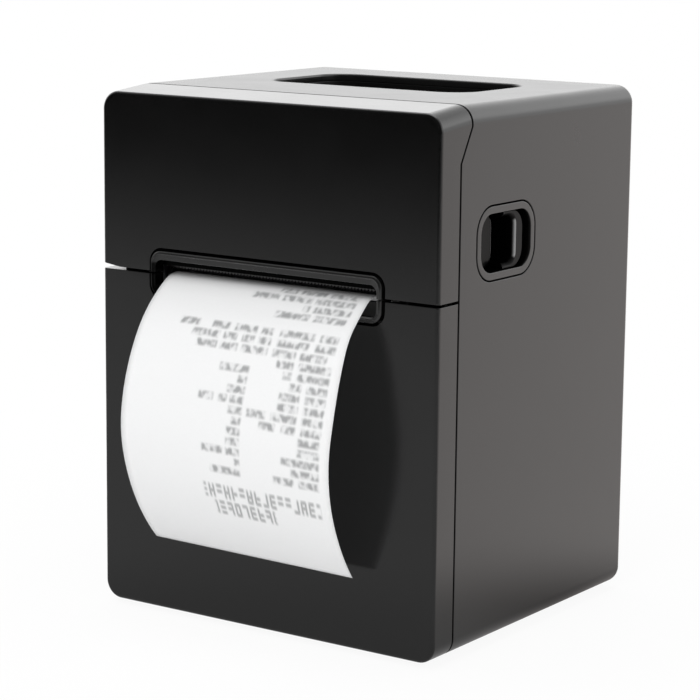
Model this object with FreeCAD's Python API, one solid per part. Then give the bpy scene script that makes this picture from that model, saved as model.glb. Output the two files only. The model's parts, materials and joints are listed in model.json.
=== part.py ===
import FreeCAD, Part
import math
import os

# Counter-top receipt printer: a cube-shaped case with a drop-down front door, a paper roll on its
# bucket, a thermal print head over a driven platen roller, and the printed strip hanging in front.
# Millimetres. Modelled with y = 0 on the front face and z = 0 under the case, x = 0 in the middle;
# save() moves every piece to the part's own frame.

# Case
WIDTH = 132.0
DEPTH = 120.0
HEIGHT = 172.5
WALL = 2.5
EDGE_R = 6.0
BACK_R = 3.0
FACE_R = 1.2
FRONT_DROP = 1.7
FOOT_PROUD = 2.0

# Parting lines of the front covers
STRIP_DEPTH = 11.2
TOP_STRIP_DEPTH = 17.3
SLANT_FOOT_DROP = 17.5
SLANT_HEAD_DROP = 6.5
PART_GAP = 0.8
SEAM_Z = 112.8
SEAM_GAP = 0.9
RELIEF_LENGTH = 7.0
RELIEF_RISE = 0.9
LIP_REACH = 3.0
LIP_WALL = 1.5
LIP_FOOT_Z = 14.0
COVER_GAP = 0.3
RIM_DEPTH = 3.5
RIM_WALL = 2.0
RIM_SIDE = 5.6

# Door hinge at the foot of the front
HINGE_Y = 4.2
HINGE_Z = 4.2
HINGE_SIDE = 20.0
PIN_R = 1.25
RUN_GAP = 0.05
EAR_WIDTH = 5.0
EAR_R = 2.4
EAR_REACH = 16.0
LUG_WIDTH = 4.0
LUG_R = 3.2
HINGE_SIDE_GAP = 0.25
DOOR_SKIN = 1.2
POCKET_HEAD = 3.2
DOOR_HEEL_R = 2.5

# Base plate, feet and base screws
BASE_SIDE = 10.0
BASE_REAR = 9.0
LEDGE_WIDTH = 4.0
LEDGE_HEIGHT = 2.0
LEDGE_FRONT_Y = 14.0
FOOT_HALF = 6.5
FOOT_SIDE = 24.0
FOOT_FRONT = 25.0
FOOT_REAR = 18.0
SNAP_Y = 24.0
SNAP_LENGTH = 8.0
SNAP_T = 1.6
SNAP_GAP = 0.1
SCREW_SIDE = 16.0
SCREW_REAR = 29.0
SCREW_R = 1.4
SCREW_HEAD_R = 2.8
SCREW_HEAD = 1.3
SCREW_REACH = 10.0
BOSS_HALF = 4.0
BOSS_HEIGHT = 12.0

# Paper exit bezel and tear bar
BEZEL_SIDE = 5.65
BEZEL_ABOVE = 7.35
BEZEL_BELOW = 7.6
BEZEL_BAR = 2.9
BEZEL_SIDE_BAR = 1.9
BEZEL_FOOT_BAR = 1.4
BEZEL_R = 4.0
BEZEL_PROUD = 1.0
BEZEL_CHAMFER = 0.5
BEZEL_RIDGE = 1.1
BEZEL_STEP = 0.4
BEZEL_SPLIT = 0.3
GROOVE = 0.9
BEZEL_FLANGE = 2.2
BEZEL_FLANGE_T = 1.2
TEAR_LIP = 1.9
TEAR_LIP_BACK = 5.0
TEAR_T = 0.8
TEAR_CLEAR = 0.4
TEAR_LIFT = 1.1
TOOTH_PITCH = 1.25
TOOTH_DEPTH = 0.9

# Well in the top and its tray
WELL_SIDE = 26.0
WELL_Y0 = 52.0
WELL_Y1 = 96.0
WELL_R = 10.0
WELL_DEPTH = 22.0
WELL_LIP = 0.5
TRAY_WALL = 2.0
TRAY_FLANGE = 5.0

# Release recess on the right side
CUP_Y = 38.35
CUP_Z_ABOVE_SEAM = 16.05
CUP_LENGTH = 34.1
CUP_HEIGHT = 23.1
CUP_R = 8.5
CUP_RIM = 2.3
CUP_DEPTH = 12.5
CUP_FLOOR = 1.5
CUP_FLANGE = 2.0
CUP_GAP = 0.5
PAD_LENGTH = 14.4
PAD_SINK = 5.0
PAD_R = 5.0
PAD_EDGE = 1.2
LEVER_TRAVEL = 3.0
LEVER_BAR = 4.8
LEVER_SINK = 1.0
LEVER_ARM = 6.5
LEVER_SKIN = 1.6
LEVER_HOLLOW_R = 3.0
LEVER_CHAMFER = 1.1
STEM_HEIGHT = 8.0
SLIDE_T = 1.2
SLIDE_GAP = 0.3
LEVER_PIN_R = 1.5
SPRING_POST = 2.0
LEVER_SPRING_WIDTH = 2.9
LEVER_SPRING_LENGTH = 9.0
LEAF_T = 0.4

# Paper and its roll
PAPER_SIDE = 26.25
PAPER_T = 0.25
PAPER_GAP = 0.15
PAPER_REACH = 23.0
ROLL_R = 36.0
ROLL_AHEAD = 41.0
ROLL_Z = 47.0
CORE_R = 8.5
CORE_WALL = 2.0
BUCKET_WALL = 2.0
BUCKET_GAP = 0.3
BUCKET_SIDE_GAP = 1.25
BUCKET_BACK_RISE = 6.0
BUCKET_FRONT_DROP = 19.0
BUCKET_FOOT = 27.0
NIP_SPLIT = 1.5
EXIT_BEND_R = 14.0
EXIT_SLOPE = math.radians(30.0)
TAIL_R = 68.0
TAIL_TURN = math.radians(41.0)

# Platen, its door ears and bushes
PLATEN_R = 6.5
PLATEN_Y = 14.0
PLATEN_DROP = 10.3
PLATEN_OVER = 1.0
SHAFT_R = 2.5
EAR_SIDE = 2.25
EAR_T = 3.0
EAR_ROUND = 6.0
EAR_ROOT = 17.0
BUSH_R = 3.5

# Mechanism frame
PLATE_SIDE = 1.4
PLATE_T = 1.2
FRAME_FRONT = 11.0
FRAME_MARGIN = 2.0
FRAME_FOOT_Z = 92.0
FRAME_FOOT_LENGTH = 14.0
FRAME_FOOT_SIDE = 3.5
NOTCH_GAP = 0.15
NOTCH_FLARE = 1.2
SHELF_HEIGHT = 6.0
SHELF_SIDE = 3.5
FRAME_SCREW_SIDE = 4.5

# Print head
HEAD_OVER = 2.25
HEAD_GAP = 0.6
CERAMIC_T = 1.0
CERAMIC_LENGTH = 15.0
HEAD_LEAD = 3.0
SINK_T = 5.0
SINK_LENGTH = 22.0
HEAD_PIVOT_S = 16.0
HEAD_PIVOT_R = 1.5
SPRING_GAP = 7.4
SPRING_BAR_LENGTH = 14.0
HEAD_SPRING_X = 22.0
HEAD_SPRING_WIDTH = 8.0
HEAD_SPRING_FLAT = 6.0
HEAD_SPRING_TIP = 1.5
HEAD_SPRING_KICK = 0.8

# Gear train and feed motor
MODULE = 0.7
PLATEN_TEETH = 20
IDLER_TEETH = 40
PINION_TEETH = 14
GEAR_SIDE = 1.6
GEAR_T = 4.0
BACKLASH = 0.12
PRESSURE = math.radians(20.0)
ADDENDUM = 0.9
DEDENDUM = 1.2
FLANK_STEPS = 1
IDLER_AIM = math.radians(-6.0)
PINION_AIM = math.radians(45.0)
STUD_R = 2.0
STUD_HEX = 3.2
HEX_SIDES = 6
STUD_HEAD = 0.8
MOTOR_R = 12.5
MOTOR_LENGTH = 18.0
MOTOR_EAR = 4.0
MOTOR_EAR_T = 1.0
MOTOR_BOSS_R = 4.0
MOTOR_SHAFT_R = 1.0

# Latch
LATCH_BACK = 16.0
LATCH_UP = 23.5
LATCH_R = 2.0
HOOK_SIDE = 0.6
HOOK_T = 1.2
HOOK_BOSS_R = 4.2
HOOK_NOSE = 3.5
HOOK_CLEAR = 0.4
LATCH_ARM = 18.0
LATCH_ARM_HALF = 2.8

# Main board and the rails that hold its edges
BOARD_SIDE = 14.0
BOARD_T = 1.6
BOARD_FOOT_Z = 8.0
BOARD_HEIGHT = 76.0
BOARD_GAP = 0.1
RAIL_T = 1.5
RAIL_GRIP = 2.0

# Connector bay at the back; its pieces stand at shares of the bay's half width
BAY_SIDE = 16.0
BAY_FOOT_Z = 9.0
BAY_HEIGHT = 26.0
BAY_DEPTH = 6.0
BAY_R = 3.0
PANEL_T = 2.0
PORT_Z = 21.0
PORT_PROUD = 0.6
PORT_LENGTH = 10.0
PORT_GAP = 0.3
POWER_PLACE = -0.40
POWER_SIZE = 12.0
POWER_BORE_R = 4.4
POWER_BORE_DEPTH = 7.0
POWER_PIN_R = 1.2
USB_PLACE = -0.08
USB_WIDTH = 12.0
USB_HEIGHT = 11.0
USB_MOUTH_W = 8.6
USB_MOUTH_H = 7.8
USB_TONGUE_W = 5.6
USB_TONGUE_H = 3.2
LAN_PLACE = 0.27
LAN_WIDTH = 16.0
LAN_HEIGHT = 13.5
LAN_MOUTH_W = 11.8
LAN_MOUTH_H = 7.0
DRAWER_PLACE = 0.62
DRAWER_WIDTH = 13.2
DRAWER_HEIGHT = 12.5
DRAWER_MOUTH_W = 9.8
DRAWER_MOUTH_H = 6.8
LATCH_SLOT_W = 4.6
LATCH_SLOT_H = 2.0
MOUTH_DEPTH = 8.0
ROCKER_PLACE = -0.76
ROCKER_WIDTH = 16.0
ROCKER_HEIGHT = 11.0
ROCKER_FRAME = 1.5
ROCKER_R = 7.5
ROCKER_SINK = 4.5
ROCKER_TIP = 2.4
ROCKER_BACK = 3.0
ROCKER_TILT = math.radians(8.0)
ROCKER_AXLE_R = 1.2
BUTTON_PLACE = 0.88
BUTTON_HALF = 2.6
BUTTON_FLANGE = 1.0
BUTTON_FLANGE_T = 1.0
BUTTON_PROUD = 1.6
BUTTON_TRAVEL = 1.2
KEY_SIZE = 6.0
KEY_TIP = 1.6

# How near two places count as one, and the cosine over which an edge counts as lying along an axis
NEAR = 1e-4
ALONG = 0.5

# Places worked out from the sizes above
V = FreeCAD.Vector
HALF = WIDTH / 2.0
FRONT_Y = PAPER_REACH - (DEPTH + PAPER_REACH) / 2.0
STRIP_Y = STRIP_DEPTH - PART_GAP / 2.0
DOOR_TOP = SEAM_Z - SEAM_GAP / 2.0
COVER_FOOT = SEAM_Z + SEAM_GAP / 2.0
PLATEN_Z = SEAM_Z - PLATEN_DROP
PAPER_WIDTH = WIDTH - 2 * PAPER_SIDE
PAPER_HALF = PAPER_WIDTH / 2.0
HINGE_X = HALF - HINGE_SIDE
LUG_X = HINGE_X - EAR_WIDTH / 2.0 - HINGE_SIDE_GAP - LUG_WIDTH
BEZEL_HALF = PAPER_HALF + BEZEL_SIDE
RIM_INNER_X = BEZEL_HALF + RIM_SIDE
BEZEL_TOP = SEAM_Z + BEZEL_ABOVE
BEZEL_FOOT = SEAM_Z - BEZEL_BELOW
CUP_Z = SEAM_Z + CUP_Z_ABOVE_SEAM
CUP_IN = HALF - CUP_DEPTH - CUP_FLOOR
CUP_FRONT = CUP_Y - CUP_LENGTH / 2.0 + CUP_RIM
CUP_REAR = CUP_Y + CUP_LENGTH / 2.0 - CUP_RIM
CUP_FOOT = CUP_Z - CUP_HEIGHT / 2.0 + CUP_RIM
CUP_TOP = CUP_Z + CUP_HEIGHT / 2.0 - CUP_RIM
WELL_HALF = HALF - WELL_SIDE
BASE_HALF = HALF - BASE_SIDE
BASE_FRONT_Y = STRIP_DEPTH + PART_GAP / 2.0
BASE_REAR_Y = DEPTH - BASE_REAR
FOOT_X = HALF - FOOT_SIDE
SCREW_X = HALF - SCREW_SIDE
SCREW_Y = DEPTH - SCREW_REAR
PANEL_Y = DEPTH - BAY_DEPTH
PORT_Y = PANEL_Y + PORT_PROUD
BOARD_BACK = PORT_Y - PORT_LENGTH
BOARD_Y = BOARD_BACK - BOARD_T
BOARD_HALF = HALF - BOARD_SIDE
ROLL_Y = BOARD_Y - ROLL_AHEAD
BAY_HALF = HALF - BAY_SIDE
POWER_X = BAY_HALF * POWER_PLACE
USB_X = BAY_HALF * USB_PLACE
LAN_X = BAY_HALF * LAN_PLACE
DRAWER_X = BAY_HALF * DRAWER_PLACE
ROCKER_X = BAY_HALF * ROCKER_PLACE
BUTTON_X = BAY_HALF * BUTTON_PLACE
BAY_TOP_Z = BAY_FOOT_Z + BAY_HEIGHT
LATCH_Y = PLATEN_Y + LATCH_BACK
LATCH_Z = PLATEN_Z + LATCH_UP
EAR_IN = PAPER_HALF + EAR_SIDE
EAR_OUT = EAR_IN + EAR_T
PLATE_IN = EAR_OUT + PLATE_SIDE
PLATE_OUT = PLATE_IN + PLATE_T
HOOK_IN = PLATE_OUT + HOOK_SIDE
HOOK_OUT = HOOK_IN + HOOK_T
GEAR_IN = HOOK_OUT + GEAR_SIDE
GEAR_OUT = GEAR_IN + GEAR_T
HEAD_HALF = PAPER_HALF + HEAD_OVER
FRAME_FOOT_OUT = HALF - WALL - FRAME_FOOT_SIDE
FRAME_SCREW_X = FRAME_FOOT_OUT - FRAME_SCREW_SIDE
SHELF_IN = FRAME_SCREW_X - SHELF_SIDE
CENTRE_1 = MODULE * (PLATEN_TEETH + IDLER_TEETH) / 2.0
CENTRE_2 = MODULE * (IDLER_TEETH + PINION_TEETH) / 2.0
IDLER_Y = PLATEN_Y + CENTRE_1 * math.cos(IDLER_AIM)
IDLER_Z = PLATEN_Z + CENTRE_1 * math.sin(IDLER_AIM)
MOTOR_Y = IDLER_Y + CENTRE_2 * math.cos(PINION_AIM)
MOTOR_Z = IDLER_Z + CENTRE_2 * math.sin(PINION_AIM)
FRAME_REAR = MOTOR_Y + MOTOR_R + FRAME_MARGIN
FRAME_TOP = LATCH_Z + HOOK_BOSS_R + FRAME_MARGIN


def paper_line():
    """Unit vectors of the straight paper run: upstream and up from the paper, tangent to both rolls."""
    dy = ROLL_Y - PLATEN_Y
    dz = ROLL_Z - PLATEN_Z
    span = math.hypot(dy, dz)
    along = (PLATEN_R + PAPER_GAP - ROLL_R - BUCKET_GAP) / span
    across = math.sqrt(1.0 - along * along)
    normal = (along * dy / span - across * dz / span, along * dz / span + across * dy / span)
    upstream = (normal[1], -normal[0])
    return upstream, normal, span * across


UPSTREAM, NORMAL, RUN_LENGTH = paper_line()


def at_nip(s, n):
    """Point (y, z) s upstream of the nip and n above the platen's surface."""
    y = PLATEN_Y + (PLATEN_R + n) * NORMAL[0] + s * UPSTREAM[0]
    z = PLATEN_Z + (PLATEN_R + n) * NORMAL[1] + s * UPSTREAM[1]
    return y, z


def save(shape, name):
    moved = shape.copy()
    moved.translate(V(0, FRONT_Y, FOOT_PROUD))
    moved.exportStep("parts/%s.step" % name)


def box(x0, x1, y0, y1, z0, z1):
    return Part.makeBox(x1 - x0, y1 - y0, z1 - z0, V(x0, y0, z0))


def rounded_box(x0, x1, y0, y1, z0, z1, radius, axis):
    solid = box(x0, x1, y0, y1, z0, z1)
    edges = [e for e in solid.Edges if abs(e.tangentAt(e.FirstParameter).dot(axis)) > ALONG]
    return solid.makeFillet(radius, edges)


def rod_x(x0, x1, y, z, radius):
    return Part.makeCylinder(radius, x1 - x0, V(x0, y, z), V(1, 0, 0))


def rod_y(x, y0, y1, z, radius):
    return Part.makeCylinder(radius, y1 - y0, V(x, y0, z), V(0, 1, 0))


def rod_z(x, y, z0, z1, radius):
    return Part.makeCylinder(radius, z1 - z0, V(x, y, z0), V(0, 0, 1))


def plate_x(points, x0, x1):
    """Polygon of (y, z) points, as thick as x0 to x1."""
    corners = [V(x0, y, z) for y, z in points]
    face = Part.Face(Part.makePolygon(corners + corners[:1]))
    return face.extrude(V(x1 - x0, 0, 0))


def plate_y(points, y0, y1):
    """Polygon of (x, z) points, as thick as y0 to y1."""
    corners = [V(x, y0, z) for x, z in points]
    face = Part.Face(Part.makePolygon(corners + corners[:1]))
    return face.extrude(V(0, y1 - y0, 0))


def slab(s0, s1, n0, n1, half):
    """Flat bar along the paper run, from n0 to n1 above the platen and as wide as two halves."""
    corners = [at_nip(s0, n0), at_nip(s1, n0), at_nip(s1, n1), at_nip(s0, n1)]
    return plate_x(corners, -half, half)


def mirrored(shape):
    return shape.mirror(V(0, 0, 0), V(1, 0, 0))


def both_sides(shape):
    return [shape, mirrored(shape)]


def fuse(shapes):
    return shapes[0].multiFuse(shapes[1:]).removeSplitter()


def group(solids):
    return Part.makeCompound(solids)


def edges_at_y(solid, y):
    return [e for e in solid.Edges if all(abs(v.Y - y) < NEAR for v in e.Vertexes)]


def edges_at_x(solid, x):
    return [e for e in solid.Edges if all(abs(v.X - x) < NEAR for v in e.Vertexes)]


def corner_wire(half, z0, z1, radius, y):
    """Rounded rectangle in the plane y, with its corners in a steady order."""
    edges = []
    cut = radius * (1.0 - math.sqrt(0.5))
    corners = ((1, 1), (-1, 1), (-1, -1), (1, -1))
    ends = []
    for sx, sz in corners:
        x = sx * half
        z = z1 if sz > 0 else z0
        side = V(x, y, z - sz * radius)
        level = V(x - sx * radius, y, z)
        middle = V(x - sx * cut, y, z - sz * cut)
        first, last = (side, level) if sx * sz > 0 else (level, side)
        ends.append((first, last))
        edges.append(Part.Arc(first, middle, last).toShape())
    wire = []
    for i, arc in enumerate(edges):
        wire.append(arc)
        wire.append(Part.LineSegment(ends[i][1], ends[(i + 1) % len(ends)][0]).toShape())
    return Part.Wire(wire)


def envelope(inset):
    """The case's outer form pulled in by inset: its top slopes down over the front strip."""
    half = HALF - inset
    radius = EDGE_R - inset
    face = corner_wire(half, inset, HEIGHT - FRONT_DROP - inset, radius, inset)
    joint = corner_wire(half, inset, HEIGHT - inset, radius, TOP_STRIP_DEPTH)
    back = corner_wire(half, inset, HEIGHT - inset, radius, DEPTH - inset)
    return Part.makeLoft([face, joint], True, True), Part.makeLoft([joint, back], True, True)


def outer_form():
    nose, block = envelope(0.0)
    nose = nose.makeFillet(FACE_R, edges_at_y(nose, 0.0))
    block = block.makeFillet(BACK_R, edges_at_y(block, DEPTH))
    return nose.fuse(block)


def inner_form(inset):
    nose, block = envelope(inset)
    return nose.fuse(block)


def front_region(shift):
    """Everything in front of the parting line, moved back by shift."""
    low = STRIP_DEPTH + shift
    high = TOP_STRIP_DEPTH + shift
    slant_foot = HEIGHT - SLANT_FOOT_DROP
    slant_head = HEIGHT - SLANT_HEAD_DROP
    line = [(-DEPTH, -HEIGHT), (low, -HEIGHT), (low, slant_foot), (high, slant_head),
            (high, 2 * HEIGHT), (-DEPTH, 2 * HEIGHT)]
    return plate_x(line, -WIDTH, WIDTH)


def case_shell():
    return outer_form().cut(inner_form(WALL))


def front_shell(shell, z0, z1):
    front = shell.common(front_region(-PART_GAP / 2.0))
    return front.common(box(-WIDTH, WIDTH, -DEPTH, DEPTH, z0, z1))


def front_lip():
    """Tongue inside the housing's front edge that the two covers close over."""
    flush = inner_form(WALL).cut(inner_form(WALL + COVER_GAP + LIP_WALL))
    loose = inner_form(WALL + COVER_GAP).cut(inner_form(WALL + COVER_GAP + LIP_WALL))
    behind = front_region(LIP_REACH).cut(front_region(PART_GAP / 2.0))
    ahead = front_region(LIP_REACH).cut(front_region(-LIP_REACH))
    lip = flush.common(behind).fuse(loose.common(ahead))
    return lip.cut(box(-WIDTH, WIDTH, -DEPTH, DEPTH, -HEIGHT, LIP_FOOT_Z))


def rim_bars(z0):
    """Stiffening bars inside a front cover's edge along the seam."""
    bar = box(RIM_INNER_X, HALF - WALL, WALL, WALL + RIM_DEPTH, z0, z0 + RIM_WALL)
    return both_sides(bar)


def bezel_window(grow):
    """Rounded opening of the paper exit, grown from the bezel's outline."""
    return rounded_box(-BEZEL_HALF - grow, BEZEL_HALF + grow, -WALL, 2 * WALL,
                       BEZEL_FOOT - grow, BEZEL_TOP + grow, BEZEL_R + grow, V(0, 1, 0))


def seam_relief():
    """Wedge off the left end of the upper cover's lower edge, where a fingernail opens the seam."""
    wedge = [(-WIDTH, COVER_FOOT), (RELIEF_LENGTH - HALF, COVER_FOOT), (-HALF, COVER_FOOT + RELIEF_RISE),
             (-WIDTH, COVER_FOOT + RELIEF_RISE)]
    return plate_y(wedge, -DEPTH, DEPTH)


def upper_front_cover(shell):
    cover = front_shell(shell, COVER_FOOT, 2 * HEIGHT).cut(bezel_window(GROOVE))
    return fuse([cover] + rim_bars(COVER_FOOT)).cut(seam_relief())


def hinge_lugs():
    lug = rod_x(LUG_X, LUG_X + LUG_WIDTH, HINGE_Y, HINGE_Z, LUG_R)
    web = box(LUG_X, LUG_X + LUG_WIDTH, WALL / 2.0, HINGE_Y, WALL / 2.0, HINGE_Z + LUG_R)
    return both_sides(lug.fuse(web))


def hinge_holes(radius):
    return both_sides(rod_x(LUG_X, HINGE_X + EAR_WIDTH / 2.0, HINGE_Y, HINGE_Z, radius))


def platen_ears():
    """Arms on the door's back that carry the platen's bushes."""
    root_top = BEZEL_FOOT - GROOVE - COVER_GAP
    outline = [(WALL / 2.0, root_top - EAR_ROOT), (WALL / 2.0, root_top),
               (PLATEN_Y - EAR_ROUND, PLATEN_Z + EAR_ROUND / 2.0), (PLATEN_Y, PLATEN_Z + EAR_ROUND),
               (PLATEN_Y + EAR_ROUND, PLATEN_Z), (PLATEN_Y, PLATEN_Z - EAR_ROUND)]
    arm = plate_x(outline, EAR_IN, EAR_OUT)
    boss = rod_x(EAR_IN, EAR_OUT, PLATEN_Y, PLATEN_Z, EAR_ROUND)
    hole = rod_x(EAR_IN, EAR_OUT, PLATEN_Y, PLATEN_Z, BUSH_R)
    return both_sides(arm.fuse(boss).cut(hole))


def lower_front_door(shell):
    door = front_shell(shell, -HEIGHT, DOOR_TOP).cut(bezel_window(GROOVE))
    heel_y = STRIP_Y - DOOR_HEEL_R
    heel = box(-WIDTH, WIDTH, heel_y, STRIP_DEPTH, -WALL, DOOR_HEEL_R)
    door = door.cut(heel.cut(rod_x(-WIDTH, WIDTH, heel_y, DOOR_HEEL_R, DOOR_HEEL_R)))
    pocket_half = EAR_WIDTH / 2.0 + HINGE_SIDE_GAP
    pocket = box(HINGE_X - pocket_half, HINGE_X + pocket_half, DOOR_SKIN, STRIP_DEPTH,
                 -WALL, HINGE_Z + POCKET_HEAD)
    door = fuse([door] + hinge_lugs() + platen_ears() + rim_bars(DOOR_TOP - RIM_WALL))
    for cutter in both_sides(pocket) + hinge_holes(PIN_R + RUN_GAP):
        door = door.cut(cutter)
    return door


def base_outline(inset, z0, z1):
    return box(-BASE_HALF + inset, BASE_HALF - inset, BASE_FRONT_Y, BASE_REAR_Y - inset, z0, z1)


def screw_places():
    return [(sx * SCREW_X, SCREW_Y) for sx in (1, -1)]


def foot_places():
    return [(sx * FOOT_X, y) for sx in (1, -1) for y in (FOOT_FRONT, DEPTH - FOOT_REAR)]


def base_plate():
    ear = box(HINGE_X - EAR_WIDTH / 2.0, HINGE_X + EAR_WIDTH / 2.0, HINGE_Y, HINGE_Y + EAR_REACH,
              HINGE_Z - EAR_R, HINGE_Z + EAR_R)
    tip = rod_x(HINGE_X - EAR_WIDTH / 2.0, HINGE_X + EAR_WIDTH / 2.0, HINGE_Y, HINGE_Z, EAR_R)
    plate = fuse([base_outline(0.0, 0.0, WALL)] + both_sides(ear) + both_sides(tip) + base_snaps())
    cutters = hinge_holes(PIN_R)
    cutters += [rod_z(x, y, 0.0, WALL, SCREW_R) for x, y in screw_places()]
    for cutter in cutters:
        plate = plate.cut(cutter)
    return plate


def base_snaps():
    """Hooks on the base plate's front corners that catch over the housing's ledge."""
    ledge_x = BASE_HALF - LEDGE_WIDTH
    ledge_z = WALL + LEDGE_HEIGHT
    stem_x = ledge_x - SNAP_GAP
    stem = box(stem_x - SNAP_T, stem_x, SNAP_Y, SNAP_Y + SNAP_LENGTH, WALL, ledge_z + SNAP_T)
    nose = box(stem_x, stem_x + SNAP_T, SNAP_Y, SNAP_Y + SNAP_LENGTH, ledge_z + SNAP_GAP, ledge_z + SNAP_T)
    return both_sides(stem.fuse(nose))


def rubber_feet():
    return group([box(x - FOOT_HALF, x + FOOT_HALF, y - FOOT_HALF, y + FOOT_HALF, -FOOT_PROUD, 0.0)
                  for x, y in foot_places()])


def screw_z(x, y, head_z, up, reach):
    """Screw along Z with its head's bearing face at head_z and its shank pointing up or down."""
    head = rod_z(x, y, head_z - SCREW_HEAD, head_z, SCREW_HEAD_R)
    shank = rod_z(x, y, head_z, head_z + reach, SCREW_R)
    solid = head.fuse(shank)
    if not up:
        solid.rotate(V(x, y, head_z), V(1, 0, 0), 180)
    return solid


def base_screws():
    return group([screw_z(x, y, 0.0, True, SCREW_REACH) for x, y in screw_places()])


def base_seat():
    """Ledge above the base plate's edge and the bosses that take its screws."""
    outer = box(-HALF + WALL, HALF - WALL, LEDGE_FRONT_Y, DEPTH - WALL, WALL, WALL + LEDGE_HEIGHT)
    ledge = outer.cut(base_outline(LEDGE_WIDTH, 0.0, HEIGHT))
    bosses = [box(x - BOSS_HALF, x + BOSS_HALF, y - BOSS_HALF, y + BOSS_HALF, WALL, WALL + BOSS_HEIGHT)
              for x, y in screw_places()]
    return [ledge] + bosses


def frame_shelves():
    shelf = box(SHELF_IN, HALF - WALL, FRAME_REAR - FRAME_FOOT_LENGTH, FRAME_REAR,
                FRAME_FOOT_Z - SHELF_HEIGHT, FRAME_FOOT_Z)
    return both_sides(shelf)


def frame_screw_places():
    return [(sx * FRAME_SCREW_X, FRAME_REAR - FRAME_FOOT_LENGTH / 2.0) for sx in (1, -1)]


def board_rails():
    """Ribs on both side walls that take the board's edges, with a stop under each."""
    x0 = BOARD_HALF - RAIL_GRIP
    x1 = HALF - WALL
    front = BOARD_Y - BOARD_GAP
    back = BOARD_BACK + BOARD_GAP
    top = BOARD_FOOT_Z + BOARD_HEIGHT
    ribs = []
    ribs += both_sides(box(x0, x1, front - RAIL_T, front, BOARD_FOOT_Z - RAIL_T, top))
    ribs += both_sides(box(x0, x1, back, back + RAIL_T, BOARD_FOOT_Z - RAIL_T, top))
    ribs += both_sides(box(x0, x1, front, back, BOARD_FOOT_Z - RAIL_T, BOARD_FOOT_Z))
    return ribs


def bay_hole(x, width, height):
    return box(x - width / 2.0 - PORT_GAP, x + width / 2.0 + PORT_GAP, PANEL_Y - 2 * PANEL_T, DEPTH,
               PORT_Z - height / 2.0 - PORT_GAP, PORT_Z + height / 2.0 + PORT_GAP)


def port_holes():
    ports = ((POWER_X, POWER_SIZE, POWER_SIZE), (USB_X, USB_WIDTH, USB_HEIGHT),
             (LAN_X, LAN_WIDTH, LAN_HEIGHT), (DRAWER_X, DRAWER_WIDTH, DRAWER_HEIGHT),
             (ROCKER_X, ROCKER_WIDTH, ROCKER_HEIGHT), (BUTTON_X, 2 * BUTTON_HALF, 2 * BUTTON_HALF))
    return [bay_hole(x, width, height) for x, width, height in ports]


def cup_prism(grow, x0, x1):
    return rounded_box(x0, x1, CUP_Y - CUP_LENGTH / 2.0 - grow, CUP_Y + CUP_LENGTH / 2.0 + grow,
                       CUP_Z - CUP_HEIGHT / 2.0 - grow, CUP_Z + CUP_HEIGHT / 2.0 + grow,
                       CUP_R + grow, V(1, 0, 0))


def well_prism(grow, z0, z1):
    return rounded_box(-WELL_HALF - grow, WELL_HALF + grow, WELL_Y0 - grow, WELL_Y1 + grow, z0, z1,
                       WELL_R + grow, V(0, 0, 1))


def opened_well(body):
    """Cut the well through the top and break its upper edge."""
    body = body.cut(well_prism(0.0, HEIGHT - 2 * WALL, HEIGHT + WALL))
    rim = [e for e in body.Edges
           if all(abs(v.Z - HEIGHT) < NEAR and abs(v.X) < WELL_HALF + NEAR
                  and WELL_Y0 - NEAR < v.Y < WELL_Y1 + NEAR for v in e.Vertexes)]
    return body.makeChamfer(WELL_LIP, rim)


def rear_housing(shell):
    body = shell.cut(front_region(PART_GAP / 2.0)).cut(base_outline(-COVER_GAP, -WALL, WALL))
    bay = box(-BAY_HALF - PANEL_T, BAY_HALF + PANEL_T, PANEL_Y - PANEL_T, DEPTH - WALL / 2.0,
              BAY_FOOT_Z - PANEL_T, BAY_TOP_Z + PANEL_T)
    body = fuse([body, front_lip(), bay] + base_seat() + frame_shelves() + board_rails())
    body = opened_well(body)
    cutters = [cup_prism(CUP_GAP, HALF - 2 * WALL, HALF + WALL)]
    cutters.append(rounded_box(-BAY_HALF, BAY_HALF, PANEL_Y, DEPTH + WALL, BAY_FOOT_Z, BAY_TOP_Z,
                               BAY_R, V(0, 1, 0)))
    cutters += port_holes()
    for x, y in screw_places():
        cutters.append(rod_z(x, y, WALL, SCREW_REACH, SCREW_R))
    for x, y in frame_screw_places():
        cutters.append(rod_z(x, y, FRAME_FOOT_Z - SHELF_HEIGHT, FRAME_FOOT_Z, SCREW_R))
    for cutter in cutters:
        body = body.cut(cutter)
    return body


def bezel_ring():
    """Frame of the slot: an outer ridge with a lower ledge inside it, and a flange behind the covers."""
    ring = bezel_window(0.0).common(box(-WIDTH, WIDTH, -BEZEL_PROUD, WALL, 0, HEIGHT))
    ring = ring.makeChamfer(BEZEL_CHAMFER, edges_at_y(ring, -BEZEL_PROUD))
    ahead = box(-WIDTH, WIDTH, -DEPTH, BEZEL_STEP - BEZEL_PROUD, 0, HEIGHT)
    ring = ring.cut(bezel_window(-BEZEL_RIDGE).common(ahead))
    mouth = rounded_box(BEZEL_SIDE_BAR - BEZEL_HALF, BEZEL_HALF - BEZEL_SIDE_BAR, -DEPTH, DEPTH,
                        BEZEL_FOOT + BEZEL_FOOT_BAR, BEZEL_TOP - BEZEL_BAR,
                        BEZEL_R - BEZEL_FOOT_BAR, V(0, 1, 0))
    edge = GROOVE + BEZEL_FLANGE
    flange = rounded_box(-BEZEL_HALF - edge, BEZEL_HALF + edge, WALL, WALL + BEZEL_FLANGE_T,
                         BEZEL_FOOT - edge, BEZEL_TOP + edge, BEZEL_R + edge, V(0, 1, 0))
    return ring.fuse(flange).removeSplitter().cut(mouth)


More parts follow.
